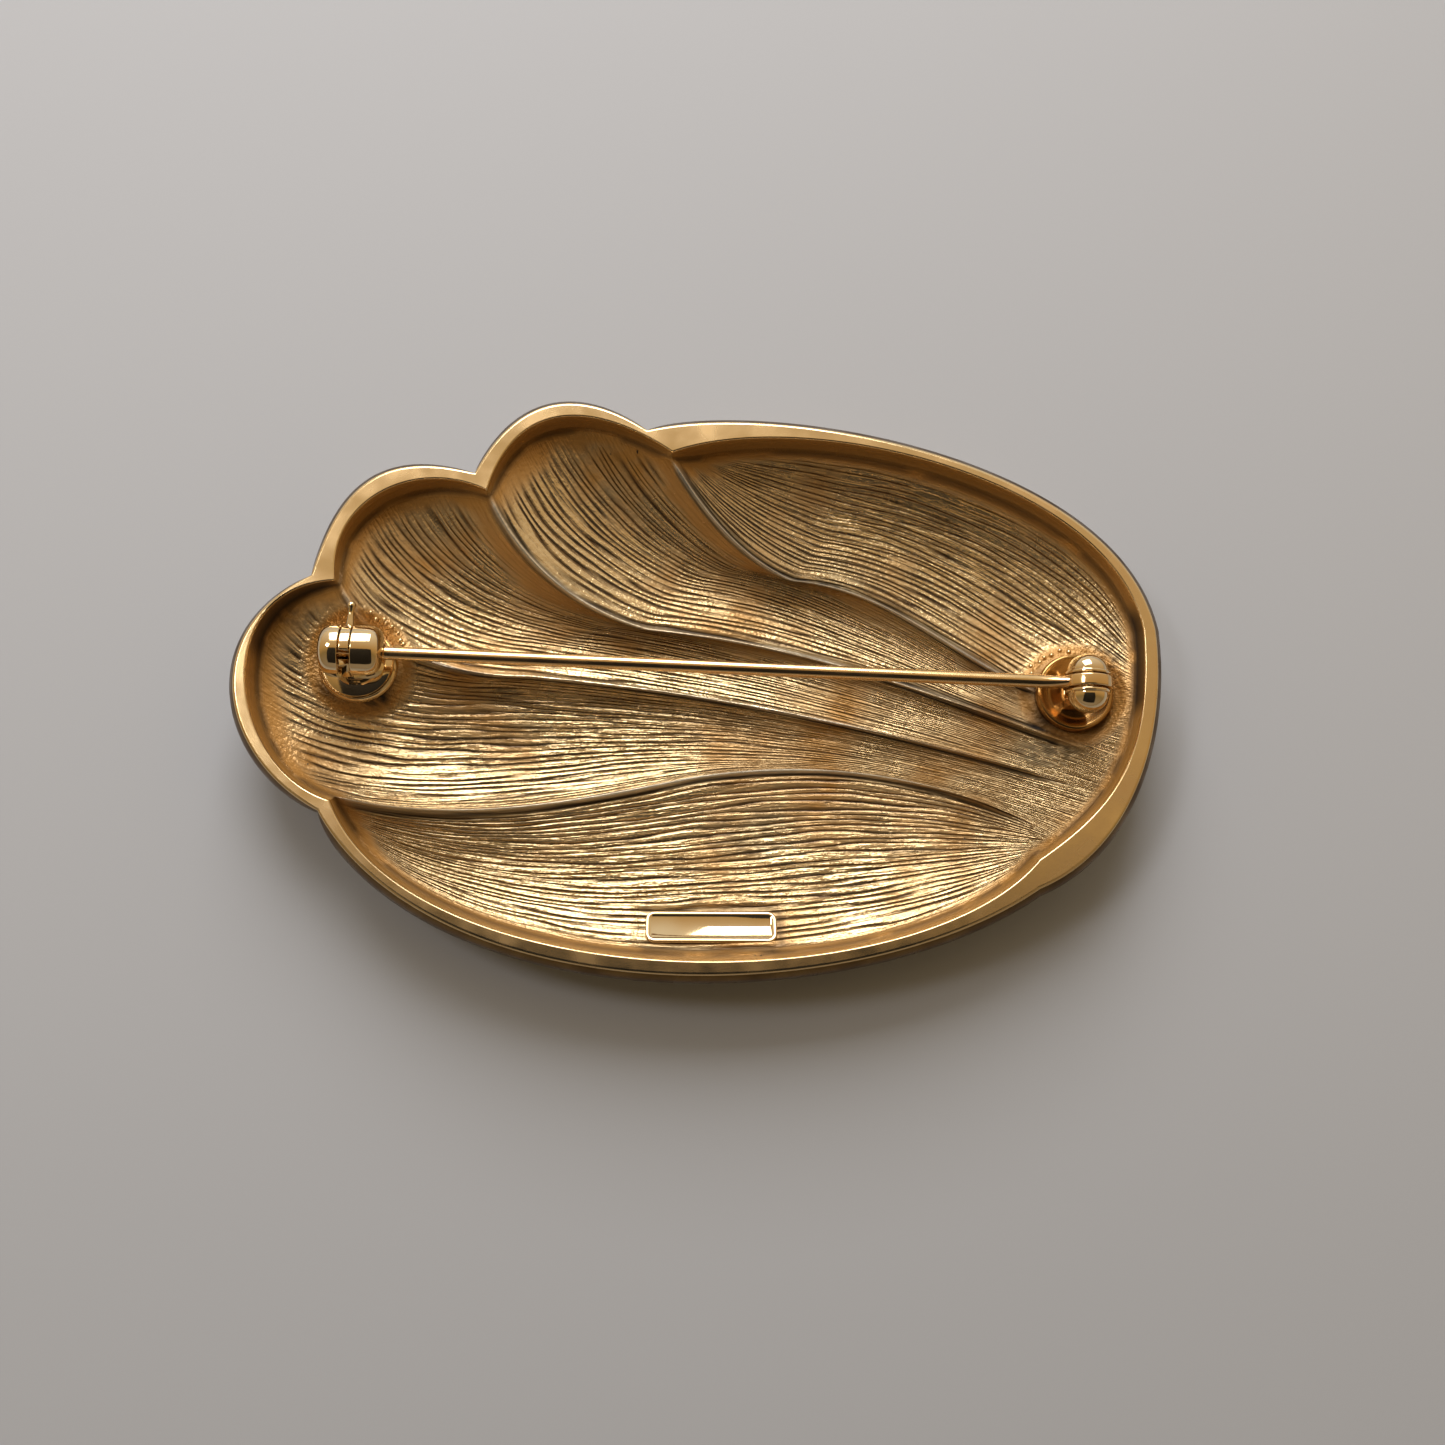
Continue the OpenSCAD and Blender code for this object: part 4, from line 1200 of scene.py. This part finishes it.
# %% Maker's tablet
CORNER, SOFT_EDGE, BORDER, SUNK = 0.6, 0.1, 0.14, 0.07
tablet = bmesh.new()
made = bmesh.ops.create_cube(tablet, size=MM)["verts"]
bmesh.ops.scale(tablet, verts=made, vec=(TABLET_L, TABLET_W, TABLET_RISE + TABLET_SINK))
bmesh.ops.translate(tablet, verts=made, vec=(0, 0, (TABLET_RISE - TABLET_SINK) / 2 * MM))
upright = [e for e in tablet.edges if abs(e.verts[0].co.z - e.verts[1].co.z) > 0.1 * MM]
bmesh.ops.bevel(
    tablet, geom=upright, offset=CORNER * MM, affect="EDGES", segments=8, profile=0.5, material=-1
)
top = max(tablet.faces, key=lambda face: face.calc_center_median().z)
bmesh.ops.bevel(
    tablet, geom=list(top.edges), offset=SOFT_EDGE * MM, affect="EDGES", segments=3, profile=0.5, material=-1
)
top = max(tablet.faces, key=lambda face: (face.calc_center_median().z, face.calc_area()))
bmesh.ops.inset_region(tablet, faces=[top], thickness=BORDER * MM)
bmesh.ops.inset_region(tablet, faces=[top], thickness=SUNK * MM, depth=-SUNK * MM)
turn = Matrix.Rotation(TABLET_TURN, 4, "Z") @ Matrix.Rotation(TABLET_TILT, 4, "X")
bmesh.ops.transform(tablet, matrix=turn, verts=tablet.verts)
bmesh.ops.translate(tablet, verts=tablet.verts, vec=Vector(TABLET_AT) * MM)
maker_tablet = new_piece("blank_tablet", tablet, [findings_gold], "brooch_back")
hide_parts("maker_tablet")

# %% [markdown]
# ## Floor, light and camera
# Polished metal shows its surroundings, so most of the look is decided here. A window
# stands behind the far side of the brooch (+Y), and the nearer side looks into the
# room, which is dim. The sky of the scene is a gradient between the two. A large soft
# lamp is the window, and a smaller one above fills the scores. A black card high above
# the brooch is what the level faces reflect, as they would somebody bending over it.


# %% Pale floor
def plain_finish(name, tone, roughness):
    """An even, matt material for what stands round the brooch."""
    finish = bpy.data.materials.new(name)
    finish.use_nodes = True
    shader = finish.node_tree.nodes["Principled BSDF"]
    shader.inputs["Base Color"].default_value = linear(tone)
    shader.inputs["Roughness"].default_value = roughness
    return finish


FLOOR_HALF, FLOOR_GAP = 600, 0.01
ground = bmesh.new()
bmesh.ops.create_grid(ground, x_segments=1, y_segments=1, size=FLOOR_HALF * MM)
bmesh.ops.translate(ground, verts=ground.verts, vec=(0, 0, -FLOOR_GAP * MM))
floor = as_object("floor", ground, [plain_finish("pale_plaster_floor", "#B6B9C0", 0.85)])
print("floor", 2 * FLOOR_HALF, "mm square")

# %% Sky gradient
world = bpy.data.worlds.new("room")
bpy.context.scene.world = world
world.use_nodes = True
tree = world.node_tree
tree.nodes.clear()
way = add(tree, "ShaderNodeTexCoord").outputs["Generated"]
north = add(tree, "ShaderNodeSeparateXYZ", [(0, way)]).outputs[1]
span = add(tree, "ShaderNodeMapRange", [("Value", north), ("From Min", -1.0)]).outputs[0]
ramp = add(tree, "ShaderNodeValToRGB", [(0, span)])
# Colour of the room by how far north the direction points, from -1 to 1
ROOM = [(-1.0, "#8C8070"), (-0.30, "#86734F"), (0.04, "#B49563"), (0.40, "#C6AF8C"), (1.0, "#E6DED0")]
stops = ramp.color_ramp.elements
for where, _ in ROOM[1:-1]:
    stops.new((where + 1) / 2)
for stop, (where, tone) in zip(stops, ROOM):
    stop.position, stop.color = (where + 1) / 2, linear(tone)
sky = add(tree, "ShaderNodeBackground", [("Color", ramp.outputs[0]), ("Strength", 1.0)])
add(tree, "ShaderNodeOutputWorld", [(0, sky.outputs[0])])
print("sky made with", len(ROOM), "tones")


# %% Window and fill lamps
def lamp(name, place, aim, size, power):
    """A square soft lamp at place, in mm, that looks at aim."""
    light = bpy.data.lights.new(name, "AREA")
    light.shape, light.size, light.energy = "SQUARE", size * MM, power
    holder = bpy.data.objects.new(name, light)
    holder.location = Vector(place) * MM
    holder.rotation_euler = (Vector(aim) - Vector(place)).to_track_quat("-Z", "Y").to_euler()
    bpy.context.scene.collection.objects.link(holder)
    print(name, size, "mm wide,", power, "W")


lamp("window", (-40, 250, 190), (0, 0, 0), 200, 0.84)
lamp("fill", (-160, 60, 260), (0, 0, 0), 60, 0.12)

# %% Black card that the polished faces reflect
CARD_SIZE, CARD_AT, CARD_LEAN = (240, 250), (0, -103, 161), math.radians(32.5)
sheet = bmesh.new()
bmesh.ops.create_grid(sheet, x_segments=1, y_segments=1, size=0.5)
bmesh.ops.scale(sheet, verts=sheet.verts, vec=(CARD_SIZE[0] * MM, CARD_SIZE[1] * MM, 1))
bmesh.ops.rotate(sheet, verts=sheet.verts, cent=(0, 0, 0), matrix=Matrix.Rotation(CARD_LEAN, 3, "X"))
bmesh.ops.translate(sheet, verts=sheet.verts, vec=Vector(CARD_AT) * MM)
card = as_object("black_card", sheet, [plain_finish("black_card", "#1A1612", 0.9)])
print("card", CARD_SIZE, "mm")

# %% [markdown]
# The brooch is looked at from almost straight above, with the camera leaning a little
# to the near side and to the left. It stands 100 mm from the rim, close enough for the
# near parts to look larger. Its matrix is built from three directions, right, up and
# back, because those are easier to think about than three turns.

# %% Camera
TARGET, DISTANCE = Vector((1.258, -2.681, rim_z)), 100
LENS, SENSOR = 37.4, 36
LEAN, SIDE, ROLL = math.radians(10.5), math.radians(3.0), math.radians(1.87)
back = Vector((-math.sin(SIDE) * math.cos(LEAN), -math.sin(LEAN), math.cos(LEAN) * math.cos(SIDE)))
back = back.normalized()
right = Vector(Y_AXIS).cross(back).normalized()
up = back.cross(right)
turn = Matrix.Rotation(ROLL, 3, "Z")
axes = Matrix((turn @ right, turn @ up, turn @ back)).transposed()
place = (TARGET + turn @ back * DISTANCE) * MM
camera_data = bpy.data.cameras.new("camera")
camera_data.sensor_width, camera_data.lens = SENSOR, LENS
camera_data.clip_start, camera_data.clip_end = 0.005, 10
camera = bpy.data.objects.new("camera", camera_data)
camera.matrix_world = Matrix.Translation(place) @ axes.to_4x4()
bpy.context.scene.collection.objects.link(camera)
bpy.context.scene.camera = camera
bpy.context.scene.view_settings.view_transform = "Standard"
print("camera at", [round(v / MM, 1) for v in place])
